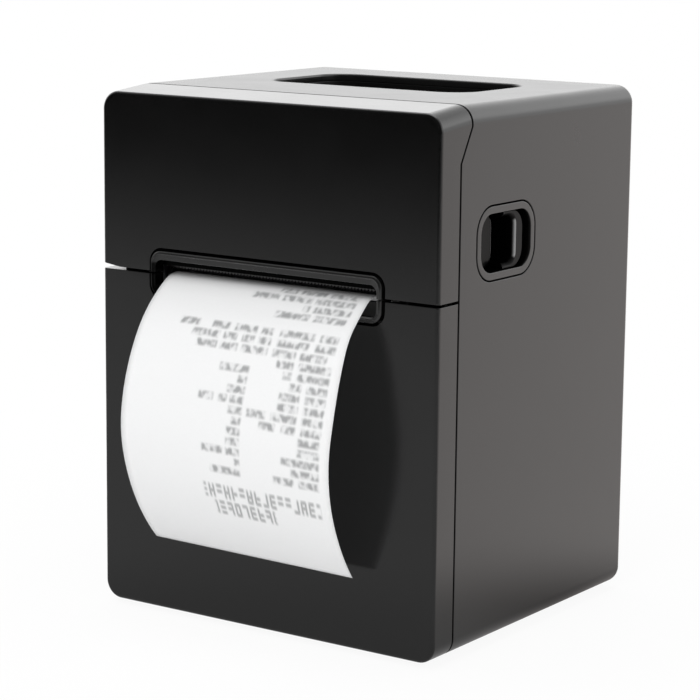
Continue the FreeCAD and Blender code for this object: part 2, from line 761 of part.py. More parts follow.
def exit_bezel_upper(ring):
    upper = ring.common(box(-WIDTH, WIDTH, -DEPTH, DEPTH, SEAM_Z + BEZEL_SPLIT / 2.0, 2 * HEIGHT))
    clear = box(BEZEL_HALF + GROOVE, WIDTH, WALL, DEPTH, 0, COVER_FOOT + RIM_WALL + COVER_GAP)
    lip_top = BEZEL_TOP - BEZEL_BAR
    lip = box(BEZEL_SIDE_BAR - BEZEL_HALF, BEZEL_HALF - BEZEL_SIDE_BAR, WALL, TEAR_LIP_BACK,
              lip_top - TEAR_LIP, lip_top + BEZEL_BAR)
    for cutter in both_sides(clear):
        upper = upper.cut(cutter)
    return fuse([upper, lip])


def exit_bezel_lower(ring):
    lower = ring.common(box(-WIDTH, WIDTH, -DEPTH, DEPTH, 0, SEAM_Z - BEZEL_SPLIT / 2.0))
    above = box(BEZEL_HALF + GROOVE, WIDTH, WALL, DEPTH, DOOR_TOP - RIM_WALL - COVER_GAP, HEIGHT)
    ear = box(EAR_IN - COVER_GAP, EAR_OUT + COVER_GAP, WALL, DEPTH, 0, BEZEL_FOOT + BEZEL_FOOT_BAR)
    for cutter in both_sides(above) + both_sides(ear):
        lower = lower.cut(cutter)
    return lower


def tear_bar():
    half = BEZEL_HALF - BEZEL_SIDE_BAR - TEAR_CLEAR
    top = BEZEL_TOP
    foot = SEAM_Z + TEAR_LIFT
    count = int(2 * half / TOOTH_PITCH)
    pitch = 2 * half / count
    points = [(-half, top)]
    for i in range(count):
        left = -half + i * pitch
        points.append((left, foot + TOOTH_DEPTH))
        points.append((left + pitch / 2.0, foot))
    points.append((half, foot + TOOTH_DEPTH))
    points.append((half, top))
    return plate_y(points, TEAR_LIP_BACK, TEAR_LIP_BACK + TEAR_T)


def top_tray():
    rim = HEIGHT - WALL
    floor = HEIGHT - WELL_DEPTH
    cup = well_prism(TRAY_WALL, floor - TRAY_WALL, rim)
    flange = well_prism(TRAY_FLANGE, rim - TRAY_WALL, rim)
    return fuse([cup, flange]).cut(well_prism(0.0, floor, HEIGHT))


def finger_pad():
    """Raised floor at the front of the recess that a fingertip slides over, with its edge rounded."""
    x1 = HALF - PAD_SINK
    pad = rounded_box(0, x1, CUP_FRONT - PAD_LENGTH, CUP_FRONT + PAD_LENGTH, CUP_FOOT, CUP_TOP, PAD_R,
                      V(1, 0, 0))
    return pad.makeFillet(PAD_EDGE, edges_at_x(pad, x1))


def cup_cavity():
    """Mouth of the recess: shallow over the finger pad, then the deep pocket that the lever moves in."""
    mouth = rounded_box(CUP_IN + CUP_FLOOR, HALF + WALL, CUP_FRONT, CUP_REAR, CUP_FOOT, CUP_TOP,
                        CUP_R - CUP_RIM, V(1, 0, 0))
    return mouth.cut(finger_pad())


def lever_bar_y():
    """Front of the lever's bar, which stops its travel short of the recess's rear wall."""
    return CUP_REAR - LEVER_TRAVEL - LEVER_BAR - 2 * COVER_GAP


def lever_spring_y():
    return lever_bar_y() + LEVER_BAR + COVER_GAP


def release_cup():
    flange = cup_prism(CUP_FLANGE, HALF - WALL - CUP_FLANGE, HALF - WALL)
    cup = fuse([cup_prism(0.0, CUP_IN, HALF), flange]).cut(cup_cavity())
    bar = lever_bar_y()
    slot = box(0, HALF - LEVER_SINK, bar - COVER_GAP, bar + LEVER_BAR + LEVER_TRAVEL + COVER_GAP,
               CUP_Z - STEM_HEIGHT / 2.0 - COVER_GAP, CUP_Z + STEM_HEIGHT / 2.0 + COVER_GAP)
    stop = lever_spring_y() + LEVER_SPRING_LENGTH
    tail = box(CUP_IN, CUP_IN + CUP_FLOOR, CUP_Y, stop + SPRING_POST,
               CUP_Z - STEM_HEIGHT / 2.0, CUP_Z + STEM_HEIGHT / 2.0)
    post = box(CUP_IN - SLIDE_GAP - LEVER_SPRING_WIDTH, CUP_IN + CUP_FLOOR, stop, stop + SPRING_POST,
               CUP_Z - STEM_HEIGHT / 2.0, CUP_Z + STEM_HEIGHT / 2.0)
    return fuse([cup, tail, post]).cut(slot)


def lever_grip(bar):
    """C-shaped finger grip: a bar with an arm reaching forward at each end."""
    x0 = CUP_IN + CUP_FLOOR + COVER_GAP
    x1 = HALF - LEVER_SINK
    top = CUP_TOP - COVER_GAP
    foot = CUP_FOOT + COVER_GAP
    ahead = bar - LEVER_ARM - 2 * LEVER_BAR
    radius = CUP_R - CUP_RIM - COVER_GAP
    block = rounded_box(x0, x1, ahead, bar + LEVER_BAR, foot, top, radius, V(1, 0, 0))
    hollow = rounded_box(x0, x1, ahead, bar, foot + LEVER_SKIN, top - LEVER_SKIN, LEVER_HOLLOW_R,
                         V(1, 0, 0))
    grip = block.cut(hollow).cut(box(x0, x1, ahead, bar - LEVER_ARM, foot, top))
    inner = [e for e in edges_at_x(grip, x1)
             if all(v.Y < bar + NEAR and foot + NEAR < v.Z < top - NEAR for v in e.Vertexes)]
    return grip.makeChamfer(LEVER_CHAMFER, inner)


def release_lever():
    bar = lever_bar_y()
    slide_out = CUP_IN - SLIDE_GAP
    slide_in = slide_out - SLIDE_T
    stem = box(slide_in, CUP_IN + CUP_FLOOR + LEVER_BAR, bar, bar + LEVER_BAR,
               CUP_Z - STEM_HEIGHT / 2.0, CUP_Z + STEM_HEIGHT / 2.0)
    pin_z = LATCH_Z + LATCH_ARM
    low = CUP_Z - STEM_HEIGHT / 2.0
    high = pin_z + LEVER_PIN_R + SLIDE_T
    ends = LATCH_Y - LEVER_PIN_R - SLIDE_T
    arm = [(bar + LEVER_BAR, low), (bar + LEVER_BAR, low + STEM_HEIGHT), (LATCH_Y + LATCH_ARM_HALF, high),
           (ends, high), (ends, pin_z - LEVER_PIN_R - SLIDE_T), (bar, low)]
    slide = plate_x(arm, slide_in, slide_out)
    pin = rod_x(HOOK_IN - SLIDE_GAP, slide_in, LATCH_Y, pin_z, LEVER_PIN_R)
    return fuse([lever_grip(bar), stem, slide, pin])


def platen_roller():
    half = PAPER_HALF + PLATEN_OVER
    return rod_x(-half, half, PLATEN_Y, PLATEN_Z, PLATEN_R).cut(
        rod_x(-half, half, PLATEN_Y, PLATEN_Z, SHAFT_R))


def platen_shaft():
    return rod_x(-GEAR_OUT, HOOK_OUT, PLATEN_Y, PLATEN_Z, SHAFT_R)


def platen_bushes():
    sleeve = rod_x(EAR_IN, HOOK_OUT, PLATEN_Y, PLATEN_Z, BUSH_R)
    bore = rod_x(EAR_IN, HOOK_OUT, PLATEN_Y, PLATEN_Z, SHAFT_R + RUN_GAP)
    return group(both_sides(sleeve.cut(bore)))


def involute(angle):
    return math.tan(angle) - angle


def tooth_half_angle(radius, pitch_r, teeth):
    base_r = pitch_r * math.cos(PRESSURE)
    slope = math.acos(min(1.0, base_r / radius))
    at_pitch = math.pi / (2 * teeth) - BACKLASH / (2 * pitch_r)
    return at_pitch + involute(PRESSURE) - involute(slope)


def gear(teeth, y, z, phase, bore):
    """Spur gear left of the frame, with a tooth centred on the angle phase."""
    pitch_r = MODULE * teeth / 2.0
    tip = pitch_r + ADDENDUM * MODULE
    root = pitch_r - DEDENDUM * MODULE
    flank_foot = max(root, pitch_r * math.cos(PRESSURE))
    radii = [flank_foot + (tip - flank_foot) * i / FLANK_STEPS for i in range(FLANK_STEPS + 1)]
    points = []
    for tooth in range(teeth):
        middle = phase + 2 * math.pi * tooth / teeth
        rising = [(r, middle - tooth_half_angle(r, pitch_r, teeth)) for r in radii]
        falling = [(r, middle + tooth_half_angle(r, pitch_r, teeth)) for r in reversed(radii)]
        flank = [(root, rising[0][1])] + rising + falling + [(root, falling[-1][1])]
        points += [(y + r * math.cos(a), z + r * math.sin(a)) for r, a in flank]
    wheel = plate_x(points, -GEAR_OUT, -GEAR_IN)
    return wheel.cut(rod_x(-GEAR_OUT, -GEAR_IN, y, z, bore))


def gear_phases():
    """Angles that put the platen gear, the idler and the pinion in mesh."""
    platen = IDLER_AIM
    idler = IDLER_AIM + math.pi + math.pi / IDLER_TEETH
    turn = (PINION_AIM - idler) * IDLER_TEETH / (2 * math.pi)
    pinion = PINION_AIM + math.pi - (0.5 - turn) * 2 * math.pi / PINION_TEETH
    return platen, idler, pinion


def hex_x(x0, x1, y, z, reach):
    """Hexagonal bar along X, reach from its axis to its corners."""
    corners = [2 * math.pi * i / HEX_SIDES for i in range(HEX_SIDES)]
    return plate_x([(y + reach * math.cos(a), z + reach * math.sin(a)) for a in corners], x0, x1)


def idler_stud():
    stem = rod_x(-GEAR_OUT - RUN_GAP, -PLATE_IN, IDLER_Y, IDLER_Z, STUD_R)
    head = hex_x(-GEAR_OUT - RUN_GAP - STUD_HEAD, -GEAR_OUT - RUN_GAP, IDLER_Y, IDLER_Z, STUD_HEX)
    collar = hex_x(-GEAR_IN + RUN_GAP, -PLATE_OUT, IDLER_Y, IDLER_Z, STUD_HEX)
    return fuse([stem, head, collar])


def feed_motor():
    can = rod_x(-PLATE_IN, -PLATE_IN + MOTOR_LENGTH, MOTOR_Y, MOTOR_Z, MOTOR_R)
    ear = box(-PLATE_IN, -PLATE_IN + MOTOR_EAR_T, MOTOR_Y - MOTOR_EAR, MOTOR_Y + MOTOR_EAR,
              MOTOR_Z, MOTOR_Z + MOTOR_R + MOTOR_EAR)
    boss = rod_x(-PLATE_OUT, -PLATE_IN, MOTOR_Y, MOTOR_Z, MOTOR_BOSS_R)
    bore = rod_x(-PLATE_OUT, -PLATE_IN + MOTOR_LENGTH / 2.0, MOTOR_Y, MOTOR_Z, MOTOR_SHAFT_R + RUN_GAP)
    return fuse([can, ear, boss]).cut(bore)


def motor_pinion(phase):
    wheel = gear(PINION_TEETH, MOTOR_Y, MOTOR_Z, phase, MOTOR_SHAFT_R)
    shaft = rod_x(-GEAR_OUT, -PLATE_IN + MOTOR_LENGTH / 2.0 - RUN_GAP, MOTOR_Y, MOTOR_Z, MOTOR_SHAFT_R)
    return fuse([wheel, shaft])


def side_plate():
    outline = [(FRAME_FRONT, PLATEN_Z - EAR_ROUND), (IDLER_Y - FRAME_FOOT_LENGTH, FRAME_FOOT_Z),
               (FRAME_REAR, FRAME_FOOT_Z), (FRAME_REAR, MOTOR_Z + MOTOR_R),
               (LATCH_Y + HOOK_BOSS_R, FRAME_TOP), (LATCH_Y - HOOK_BOSS_R, FRAME_TOP),
               (FRAME_FRONT, PLATEN_Z + EAR_ROUND + FRAME_MARGIN)]
    plate = plate_x(outline, PLATE_IN, PLATE_OUT)
    slot_r = BUSH_R + NOTCH_GAP
    mouth = [(PLATEN_Y, PLATEN_Z - slot_r), (PLATEN_Y, PLATEN_Z + slot_r),
             (0, PLATEN_Z + slot_r + NOTCH_FLARE), (0, PLATEN_Z - slot_r)]
    pivot_y, pivot_z = head_pivot()
    holes = [plate_x(mouth, PLATE_IN, PLATE_OUT), rod_x(PLATE_IN, PLATE_OUT, PLATEN_Y, PLATEN_Z, slot_r),
             rod_x(PLATE_IN, PLATE_OUT, LATCH_Y, LATCH_Z, LATCH_R + RUN_GAP),
             rod_x(PLATE_IN, PLATE_OUT, pivot_y, pivot_z, HEAD_PIVOT_R)]
    for hole in holes:
        plate = plate.cut(hole)
    foot = box(PLATE_IN, FRAME_FOOT_OUT, FRAME_REAR - FRAME_FOOT_LENGTH, FRAME_REAR,
               FRAME_FOOT_Z, FRAME_FOOT_Z + PLATE_T)
    return plate.fuse(foot)


def spring_bar_n():
    return HEAD_GAP + CERAMIC_T + SINK_T + SPRING_GAP


def mechanism_frame():
    seat = spring_bar_n()
    bar = slab(-HEAD_LEAD, SPRING_BAR_LENGTH - HEAD_LEAD, seat, seat + PLATE_T, PLATE_OUT)
    back = box(-PLATE_OUT, PLATE_OUT, FRAME_REAR - PLATE_T, FRAME_REAR, FRAME_FOOT_Z, MOTOR_Z + MOTOR_R)
    frame = fuse(both_sides(side_plate()) + [bar, back])
    holes = [rod_x(-PLATE_OUT, -PLATE_IN, MOTOR_Y, MOTOR_Z, MOTOR_BOSS_R),
             rod_x(-PLATE_OUT, -PLATE_IN, IDLER_Y, IDLER_Z, STUD_R)]
    holes += [rod_z(x, y, FRAME_FOOT_Z, FRAME_FOOT_Z + PLATE_T, SCREW_R) for x, y in frame_screw_places()]
    for hole in holes:
        frame = frame.cut(hole)
    return frame


def frame_screws():
    seat = FRAME_FOOT_Z + PLATE_T
    return group([screw_z(x, y, seat, False, SHELF_HEIGHT) for x, y in frame_screw_places()])


def head_pivot():
    return at_nip(HEAD_PIVOT_S, HEAD_GAP + CERAMIC_T + SINK_T / 2.0)


def print_head():
    return slab(-HEAD_LEAD, CERAMIC_LENGTH - HEAD_LEAD, HEAD_GAP, HEAD_GAP + CERAMIC_T, HEAD_HALF)


def head_heatsink():
    n0 = HEAD_GAP + CERAMIC_T
    block = slab(-HEAD_LEAD, SINK_LENGTH - HEAD_LEAD, n0, n0 + SINK_T, HEAD_HALF)
    y, z = head_pivot()
    return block.cut(rod_x(-HEAD_HALF, HEAD_HALF, y, z, HEAD_PIVOT_R + RUN_GAP))


def head_pivot_shaft():
    y, z = head_pivot()
    return rod_x(-PLATE_OUT, PLATE_OUT, y, z, HEAD_PIVOT_R)


def hook_plate(x0, x1, with_arm):
    """Latch hook: its nose ends just above the path of the platen bush."""
    rise = math.hypot(PLATEN_Y - HINGE_Y, PLATEN_Z - HINGE_Z) - (PLATEN_Z - HINGE_Z)
    nose_z = PLATEN_Z + BUSH_R + rise + HOOK_CLEAR
    front = PLATEN_Y - BUSH_R - HOOK_NOSE / 2.0
    outline = [(LATCH_Y + HOOK_BOSS_R / 2.0, LATCH_Z - HOOK_BOSS_R / 2.0),
               (LATCH_Y - HOOK_BOSS_R / 2.0, LATCH_Z + HOOK_BOSS_R / 2.0),
               (front, nose_z + 2 * HOOK_NOSE), (front, nose_z), (front + HOOK_NOSE, nose_z),
               (front + 2 * HOOK_NOSE, nose_z + 2 * HOOK_NOSE)]
    hook = plate_x(outline, x0, x1).fuse(rod_x(x0, x1, LATCH_Y, LATCH_Z, HOOK_BOSS_R))
    if with_arm:
        slot_half = LEVER_PIN_R + COVER_GAP
        top = LATCH_Z + LATCH_ARM + LEVER_PIN_R
        arm = box(x0, x1, LATCH_Y - LATCH_ARM_HALF, LATCH_Y + LATCH_ARM_HALF, LATCH_Z, top)
        slot = box(x0, x1, LATCH_Y - slot_half, LATCH_Y + slot_half,
                   LATCH_Z + LATCH_ARM - 2 * LEVER_PIN_R, top)
        hook = hook.fuse(arm).cut(slot)
    return hook.removeSplitter().cut(rod_x(x0, x1, LATCH_Y, LATCH_Z, LATCH_R))


def latch_hooks():
    return group([hook_plate(HOOK_IN, HOOK_OUT, True), hook_plate(-HOOK_OUT, -HOOK_IN, False)])


def latch_shaft():
    return rod_x(-HOOK_OUT, HOOK_OUT, LATCH_Y, LATCH_Z, LATCH_R)


def head_springs():
    """Bent leaves under the frame's cross bar whose tips press on the heat sink."""
    foot = HEAD_GAP + CERAMIC_T + SINK_T
    seat = spring_bar_n()
    rear = SPRING_BAR_LENGTH - HEAD_LEAD
    bend = rear - HEAD_SPRING_FLAT
    tip = HEAD_SPRING_TIP
    upper = [(rear, seat), (bend, seat), (tip, foot + LEAF_T), (0, foot + LEAF_T + HEAD_SPRING_KICK)]
    lower = [(s, n - LEAF_T) for s, n in reversed(upper)]
    outline = [at_nip(s, n) for s, n in upper + lower]
    x0 = HEAD_SPRING_X - HEAD_SPRING_WIDTH / 2.0
    return group(both_sides(plate_x(outline, x0, x0 + HEAD_SPRING_WIDTH)))


def lever_spring():
    """Folded leaf: its fold rests on the recess's post and its two ends push the lever's stem forward."""
    front = lever_spring_y()
    back = front + LEVER_SPRING_LENGTH
    high = CUP_Z + STEM_HEIGHT / 2.0
    low = CUP_Z - STEM_HEIGHT / 2.0
    outline = [(front, high), (back, CUP_Z), (front, low), (front, low + LEAF_T), (back - LEAF_T, CUP_Z),
               (front, high - LEAF_T)]
    x1 = CUP_IN - SLIDE_GAP
    return plate_x(outline, x1 - LEVER_SPRING_WIDTH, x1)


def paper_roll():
    half = PAPER_HALF
    return rod_x(-half, half, ROLL_Y, ROLL_Z, ROLL_R).cut(rod_x(-half, half, ROLL_Y, ROLL_Z, CORE_R))


def roll_core():
    half = PAPER_HALF
    return rod_x(-half, half, ROLL_Y, ROLL_Z, CORE_R).cut(
        rod_x(-half, half, ROLL_Y, ROLL_Z, CORE_R - CORE_WALL))


def paper_bucket():
    inner = ROLL_R + BUCKET_GAP
    outer = inner + BUCKET_WALL
    side = PAPER_HALF + BUCKET_SIDE_GAP
    trough = rod_x(-side, side, ROLL_Y, ROLL_Z, outer).cut(rod_x(-side, side, ROLL_Y, ROLL_Z, inner))
    back_top = ROLL_Z + BUCKET_BACK_RISE
    front_top = ROLL_Z - BUCKET_FRONT_DROP
    trough = trough.cut(box(-WIDTH, WIDTH, 0, DEPTH, back_top, HEIGHT))
    trough = trough.cut(box(-WIDTH, WIDTH, 0, ROLL_Y, front_top, HEIGHT))
    front_reach = math.sqrt(outer * outer - BUCKET_FRONT_DROP * BUCKET_FRONT_DROP)
    outline = [(ROLL_Y - BUCKET_FOOT, WALL), (ROLL_Y + BUCKET_FOOT, WALL), (ROLL_Y + outer, ROLL_Z),
               (ROLL_Y + outer, back_top), (ROLL_Y, back_top), (ROLL_Y - front_reach, front_top)]
    wall = plate_x(outline, side, side + BUCKET_WALL)
    return fuse([trough] + both_sides(wall))


def paper_web():
    half = PAPER_HALF
    return slab(NIP_SPLIT, RUN_LENGTH, PAPER_GAP, PAPER_GAP + PAPER_T, half)


def turn_side(slope):
    """Direction (y, z) from the strip towards the inside of its bend, at a downward slope."""
    return math.sin(slope), -math.cos(slope)


def strip_path():
    """Straight run out of the nip and the arcs that the strip hangs in: start and (radius, slopes)."""
    lift = math.atan2(UPSTREAM[1], UPSTREAM[0])
    start = at_nip(-NIP_SPLIT, PAPER_GAP + PAPER_T / 2.0)
    bend = EXIT_BEND_R * (math.sin(EXIT_SLOPE) - math.sin(lift))
    run = (start[0] - bend) / math.cos(lift)
    first = (start[0] - run * math.cos(lift), start[1] - run * math.sin(lift))
    hang_r = (PAPER_REACH - PAPER_T / 2.0) / (1.0 - math.sin(EXIT_SLOPE))
    down = math.pi / 2.0
    arcs = [(EXIT_BEND_R, lift, EXIT_SLOPE), (hang_r, EXIT_SLOPE, down), (TAIL_R, down, down + TAIL_TURN)]
    return start, first, arcs


def receipt():
    start, first, arcs = strip_path()
    half = PAPER_HALF
    sides = []
    for offset in (-PAPER_T / 2.0, PAPER_T / 2.0):
        point = first
        away = turn_side(arcs[0][1])
        head = V(-half, start[0] + offset * away[0], start[1] + offset * away[1])
        chain = []
        for radius, slope0, slope1 in arcs:
            m0 = turn_side(slope0)
            centre = (point[0] + radius * m0[0], point[1] + radius * m0[1])
            places = []
            for slope in (slope0, (slope0 + slope1) / 2.0, slope1):
                m = turn_side(slope)
                reach = radius - offset
                places.append(V(-half, centre[0] - reach * m[0], centre[1] - reach * m[1]))
            chain.append(Part.Arc(*places).toShape())
            m1 = turn_side(slope1)
            point = (centre[0] - radius * m1[0], centre[1] - radius * m1[1])
        lead = Part.LineSegment(head, chain[0].Vertexes[0].Point).toShape()
        sides.append((head, [lead] + chain, chain[-1].Vertexes[-1].Point))
    upper, lower = sides
    ends = [Part.LineSegment(upper[0], lower[0]).toShape(), Part.LineSegment(upper[2], lower[2]).toShape()]
    wire = Part.Wire(Part.__sortEdges__(upper[1] + lower[1] + ends))
    return Part.Face(wire).extrude(V(PAPER_WIDTH, 0, 0))


def main_board():
    return box(-BOARD_HALF, BOARD_HALF, BOARD_Y, BOARD_BACK, BOARD_FOOT_Z, BOARD_FOOT_Z + BOARD_HEIGHT)


def port_block(x, width, height):
    return box(x - width / 2.0, x + width / 2.0, BOARD_BACK, PORT_Y,
               PORT_Z - height / 2.0, PORT_Z + height / 2.0)


def port_mouth(x, width, height, shift):
    return box(x - width / 2.0, x + width / 2.0, PORT_Y - MOUTH_DEPTH, PORT_Y,
               PORT_Z + shift - height / 2.0, PORT_Z + shift + height / 2.0)


def power_socket():
    body = port_block(POWER_X, POWER_SIZE, POWER_SIZE)
    body = body.cut(rod_y(POWER_X, PORT_Y - POWER_BORE_DEPTH, PORT_Y, PORT_Z, POWER_BORE_R))
    pin = rod_y(POWER_X, PORT_Y - POWER_BORE_DEPTH, PORT_Y - PORT_PROUD, PORT_Z, POWER_PIN_R)
    return fuse([body, pin])


def usb_socket():
    body = port_block(USB_X, USB_WIDTH, USB_HEIGHT).cut(port_mouth(USB_X, USB_MOUTH_W, USB_MOUTH_H, 0))
    tongue = box(USB_X - USB_TONGUE_W / 2.0, USB_X + USB_TONGUE_W / 2.0, PORT_Y - MOUTH_DEPTH,
                 PORT_Y - PORT_PROUD, PORT_Z - USB_TONGUE_H / 2.0, PORT_Z + USB_TONGUE_H / 2.0)
    return fuse([body, tongue])


def jack_socket(x, width, height, mouth_w, mouth_h):
    """Modular jack: a square mouth with the plug latch's slot under it."""
    body = port_block(x, width, height).cut(port_mouth(x, mouth_w, mouth_h, LATCH_SLOT_H / 2.0))
    return body.cut(port_mouth(x, LATCH_SLOT_W, LATCH_SLOT_H, -mouth_h / 2.0))


def switch_frame():
    body = port_block(ROCKER_X, ROCKER_WIDTH, ROCKER_HEIGHT)
    mouth_w = ROCKER_WIDTH - 2 * ROCKER_FRAME
    mouth_h = ROCKER_HEIGHT - 2 * ROCKER_FRAME
    well = rod_z(ROCKER_X, PORT_Y - ROCKER_SINK, PORT_Z - mouth_h / 2.0, PORT_Z + mouth_h / 2.0,
                 ROCKER_R + COVER_GAP)
    window = box(ROCKER_X - mouth_w / 2.0, ROCKER_X + mouth_w / 2.0, BOARD_BACK, PORT_Y,
                 PORT_Z - mouth_h / 2.0, PORT_Z + mouth_h / 2.0)
    body = body.cut(window.common(well))
    return body.cut(rod_z(ROCKER_X, PORT_Y - ROCKER_SINK, PORT_Z - ROCKER_HEIGHT / 2.0,
                          PORT_Z + ROCKER_HEIGHT / 2.0, ROCKER_AXLE_R + RUN_GAP))


def power_rocker():
    """Rocker with a shallow V face, turned to its off side about an upright axle."""
    height = ROCKER_HEIGHT - 2 * ROCKER_FRAME - 2 * COVER_GAP
    z0 = PORT_Z - height / 2.0
    pivot_y = PORT_Y - ROCKER_SINK
    half = (ROCKER_WIDTH - 2 * ROCKER_FRAME) / 2.0 - 2 * COVER_GAP
    tip = ROCKER_SINK + ROCKER_TIP
    face = [V(ROCKER_X - half, pivot_y + tip, z0), V(ROCKER_X, pivot_y + ROCKER_SINK, z0),
            V(ROCKER_X + half, pivot_y + tip, z0), V(ROCKER_X + half, pivot_y - ROCKER_BACK, z0),
            V(ROCKER_X - half, pivot_y - ROCKER_BACK, z0)]
    wedge = Part.Face(Part.makePolygon(face + face[:1])).extrude(V(0, 0, height))
    drum = rod_z(ROCKER_X, pivot_y, z0, z0 + height, ROCKER_R)
    axle = rod_z(ROCKER_X, pivot_y, PORT_Z - ROCKER_HEIGHT / 2.0, PORT_Z + ROCKER_HEIGHT / 2.0,
                 ROCKER_AXLE_R)
    rocker = wedge.common(drum).fuse(axle)
    rocker.rotate(V(ROCKER_X, pivot_y, PORT_Z), V(0, 0, 1), math.degrees(ROCKER_TILT))
    return rocker


def square_y(half, y0, y1):
    """Square bar along Y on the feed button's axis."""
    return box(BUTTON_X - half, BUTTON_X + half, y0, y1, PORT_Z - half, PORT_Z + half)


def feed_button():
    back = PANEL_Y - PANEL_T - COVER_GAP
    cap = square_y(BUTTON_HALF, back, PANEL_Y + BUTTON_PROUD)
    flange = square_y(BUTTON_HALF + BUTTON_FLANGE, back - BUTTON_FLANGE_T, back)
    return fuse([cap, flange])


def feed_key():
    """Tact switch on the board behind the button."""
    tip = PANEL_Y - PANEL_T - COVER_GAP - BUTTON_FLANGE_T - BUTTON_TRAVEL - COVER_GAP
    block = square_y(KEY_SIZE / 2.0, BOARD_BACK, tip - KEY_TIP)
    return fuse([block, square_y(KEY_TIP, tip - KEY_TIP, tip)])


def build():
    shell = case_shell()
    ring = bezel_ring()
    platen_phase, idler_phase, pinion_phase = gear_phases()
    pieces = {
        "rear_housing": rear_housing(shell),
        "base_plate": base_plate(),
        "upper_front_cover": upper_front_cover(shell),
        "lower_front_door": lower_front_door(shell),
        "door_hinge_pins": group(hinge_holes(PIN_R)),
        "exit_bezel_upper": exit_bezel_upper(ring),
        "exit_bezel_lower": exit_bezel_lower(ring),
        "tear_bar": tear_bar(),
        "top_tray": top_tray(),
        "release_cup": release_cup(),
        "release_lever": release_lever(),
        "lever_spring": lever_spring(),
        "rubber_feet": rubber_feet(),
        "base_screws": base_screws(),
        "mechanism_frame": mechanism_frame(),
        "frame_screws": frame_screws(),
        "print_head": print_head(),
        "head_heatsink": head_heatsink(),
        "head_pivot_shaft": head_pivot_shaft(),
        "head_springs": head_springs(),
        "platen_roller": platen_roller(),
        "platen_shaft": platen_shaft(),
        "platen_bushes": platen_bushes(),
        "platen_gear": gear(PLATEN_TEETH, PLATEN_Y, PLATEN_Z, platen_phase, SHAFT_R),
        "idler_gear": gear(IDLER_TEETH, IDLER_Y, IDLER_Z, idler_phase, STUD_R + RUN_GAP),
        "idler_stud": idler_stud(),
        "motor_pinion": motor_pinion(pinion_phase),
        "feed_motor": feed_motor(),
        "latch_shaft": latch_shaft(),
        "latch_hooks": latch_hooks(),
        "paper_bucket": paper_bucket(),
        "paper_roll": paper_roll(),
        "roll_core": roll_core(),
        "paper_web": paper_web(),
        "receipt": receipt(),
        "main_board": main_board(),
        "power_socket": power_socket(),
        "usb_socket": usb_socket(),
        "network_socket": jack_socket(LAN_X, LAN_WIDTH, LAN_HEIGHT, LAN_MOUTH_W, LAN_MOUTH_H),
        "drawer_socket": jack_socket(DRAWER_X, DRAWER_WIDTH, DRAWER_HEIGHT, DRAWER_MOUTH_W, DRAWER_MOUTH_H),
        "switch_frame": switch_frame(),
        "power_rocker": power_rocker(),
        "feed_button": feed_button(),
        "feed_key": feed_key(),
    }
    os.makedirs("parts", exist_ok=True)
    for name, shape in pieces.items():
        save(shape, name)


build()
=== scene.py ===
import json
import math

import bmesh
import bpy
from mathutils import Matrix, Vector
from mathutils.geometry import delaunay_2d_cdt
from mathutils.kdtree import KDTree


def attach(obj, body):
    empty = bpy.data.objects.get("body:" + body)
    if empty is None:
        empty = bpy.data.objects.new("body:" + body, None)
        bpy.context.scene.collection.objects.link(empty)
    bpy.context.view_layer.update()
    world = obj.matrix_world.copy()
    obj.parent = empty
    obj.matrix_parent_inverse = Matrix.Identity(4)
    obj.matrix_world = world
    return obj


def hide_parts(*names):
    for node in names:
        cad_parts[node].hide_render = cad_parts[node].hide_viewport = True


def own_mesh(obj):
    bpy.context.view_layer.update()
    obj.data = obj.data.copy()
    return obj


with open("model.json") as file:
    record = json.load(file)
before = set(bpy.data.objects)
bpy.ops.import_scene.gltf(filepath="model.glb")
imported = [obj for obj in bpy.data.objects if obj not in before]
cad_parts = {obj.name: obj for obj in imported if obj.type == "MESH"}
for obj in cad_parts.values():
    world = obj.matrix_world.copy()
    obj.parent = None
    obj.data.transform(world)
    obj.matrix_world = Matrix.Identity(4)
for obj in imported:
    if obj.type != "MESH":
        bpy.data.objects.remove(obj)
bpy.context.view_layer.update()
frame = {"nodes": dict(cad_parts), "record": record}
mm = 0.001
print("frame loaded:", len(frame["nodes"]), "nodes")


class Wire:
    # one node socket that can be added, multiplied and compared
    def __init__(self, socket):
        self.socket = socket

    @staticmethod
    def make(tree, kind, settings=None, sockets=None, out=0):
        node = tree.nodes.new(kind)
        for key, value in (settings or {}).items():
            if key == "stops":
                fillRamp(node.color_ramp, value)
            else:
                setattr(node, key, value)
        for key, value in (sockets or {}).items():
            if isinstance(value, Wire):
                tree.links.new(value.socket, node.inputs[key])
            else:
                node.inputs[key].default_value = value
        return Wire(node.outputs[out]) if node.outputs else None

    def out(self, name):
        return Wire(self.socket.node.outputs[name])

    def math(self, operation, *values):
        return Wire.make(self.socket.id_data, "ShaderNodeMath", {"operation": operation},
                         dict(enumerate(values)))

    def __add__(self, other):
        return self.math("ADD", self, other)

    def __radd__(self, other):
        return self.math("ADD", other, self)

    def __sub__(self, other):
        return self.math("SUBTRACT", self, other)

    def __rsub__(self, other):
        return self.math("SUBTRACT", other, self)

    def __mul__(self, other):
        return self.math("MULTIPLY", self, other)

    def __rmul__(self, other):
        return self.math("MULTIPLY", other, self)

    def __truediv__(self, other):
        return self.math("DIVIDE", self, other)

    def __lt__(self, other):
        return self.math("LESS_THAN", self, other)

    def __gt__(self, other):
        return self.math("GREATER_THAN", self, other)

    def floor(self):
        return self.math("FLOOR", self)

    def fract(self):
        return self.math("FRACT", self)

    def root(self):
        return self.math("SQRT", self)

    def size(self):
        return self.math("ABSOLUTE", self)

    def largest(self, other):
        return self.math("MAXIMUM", self, other)

    def rise(self, low, high):
        # 0 below low, 1 above high, smooth between
        return Wire.make(self.socket.id_data, "ShaderNodeMapRange", {"interpolation_type": "SMOOTHSTEP"},
                         {"Value": self, "From Min": low, "From Max": high})


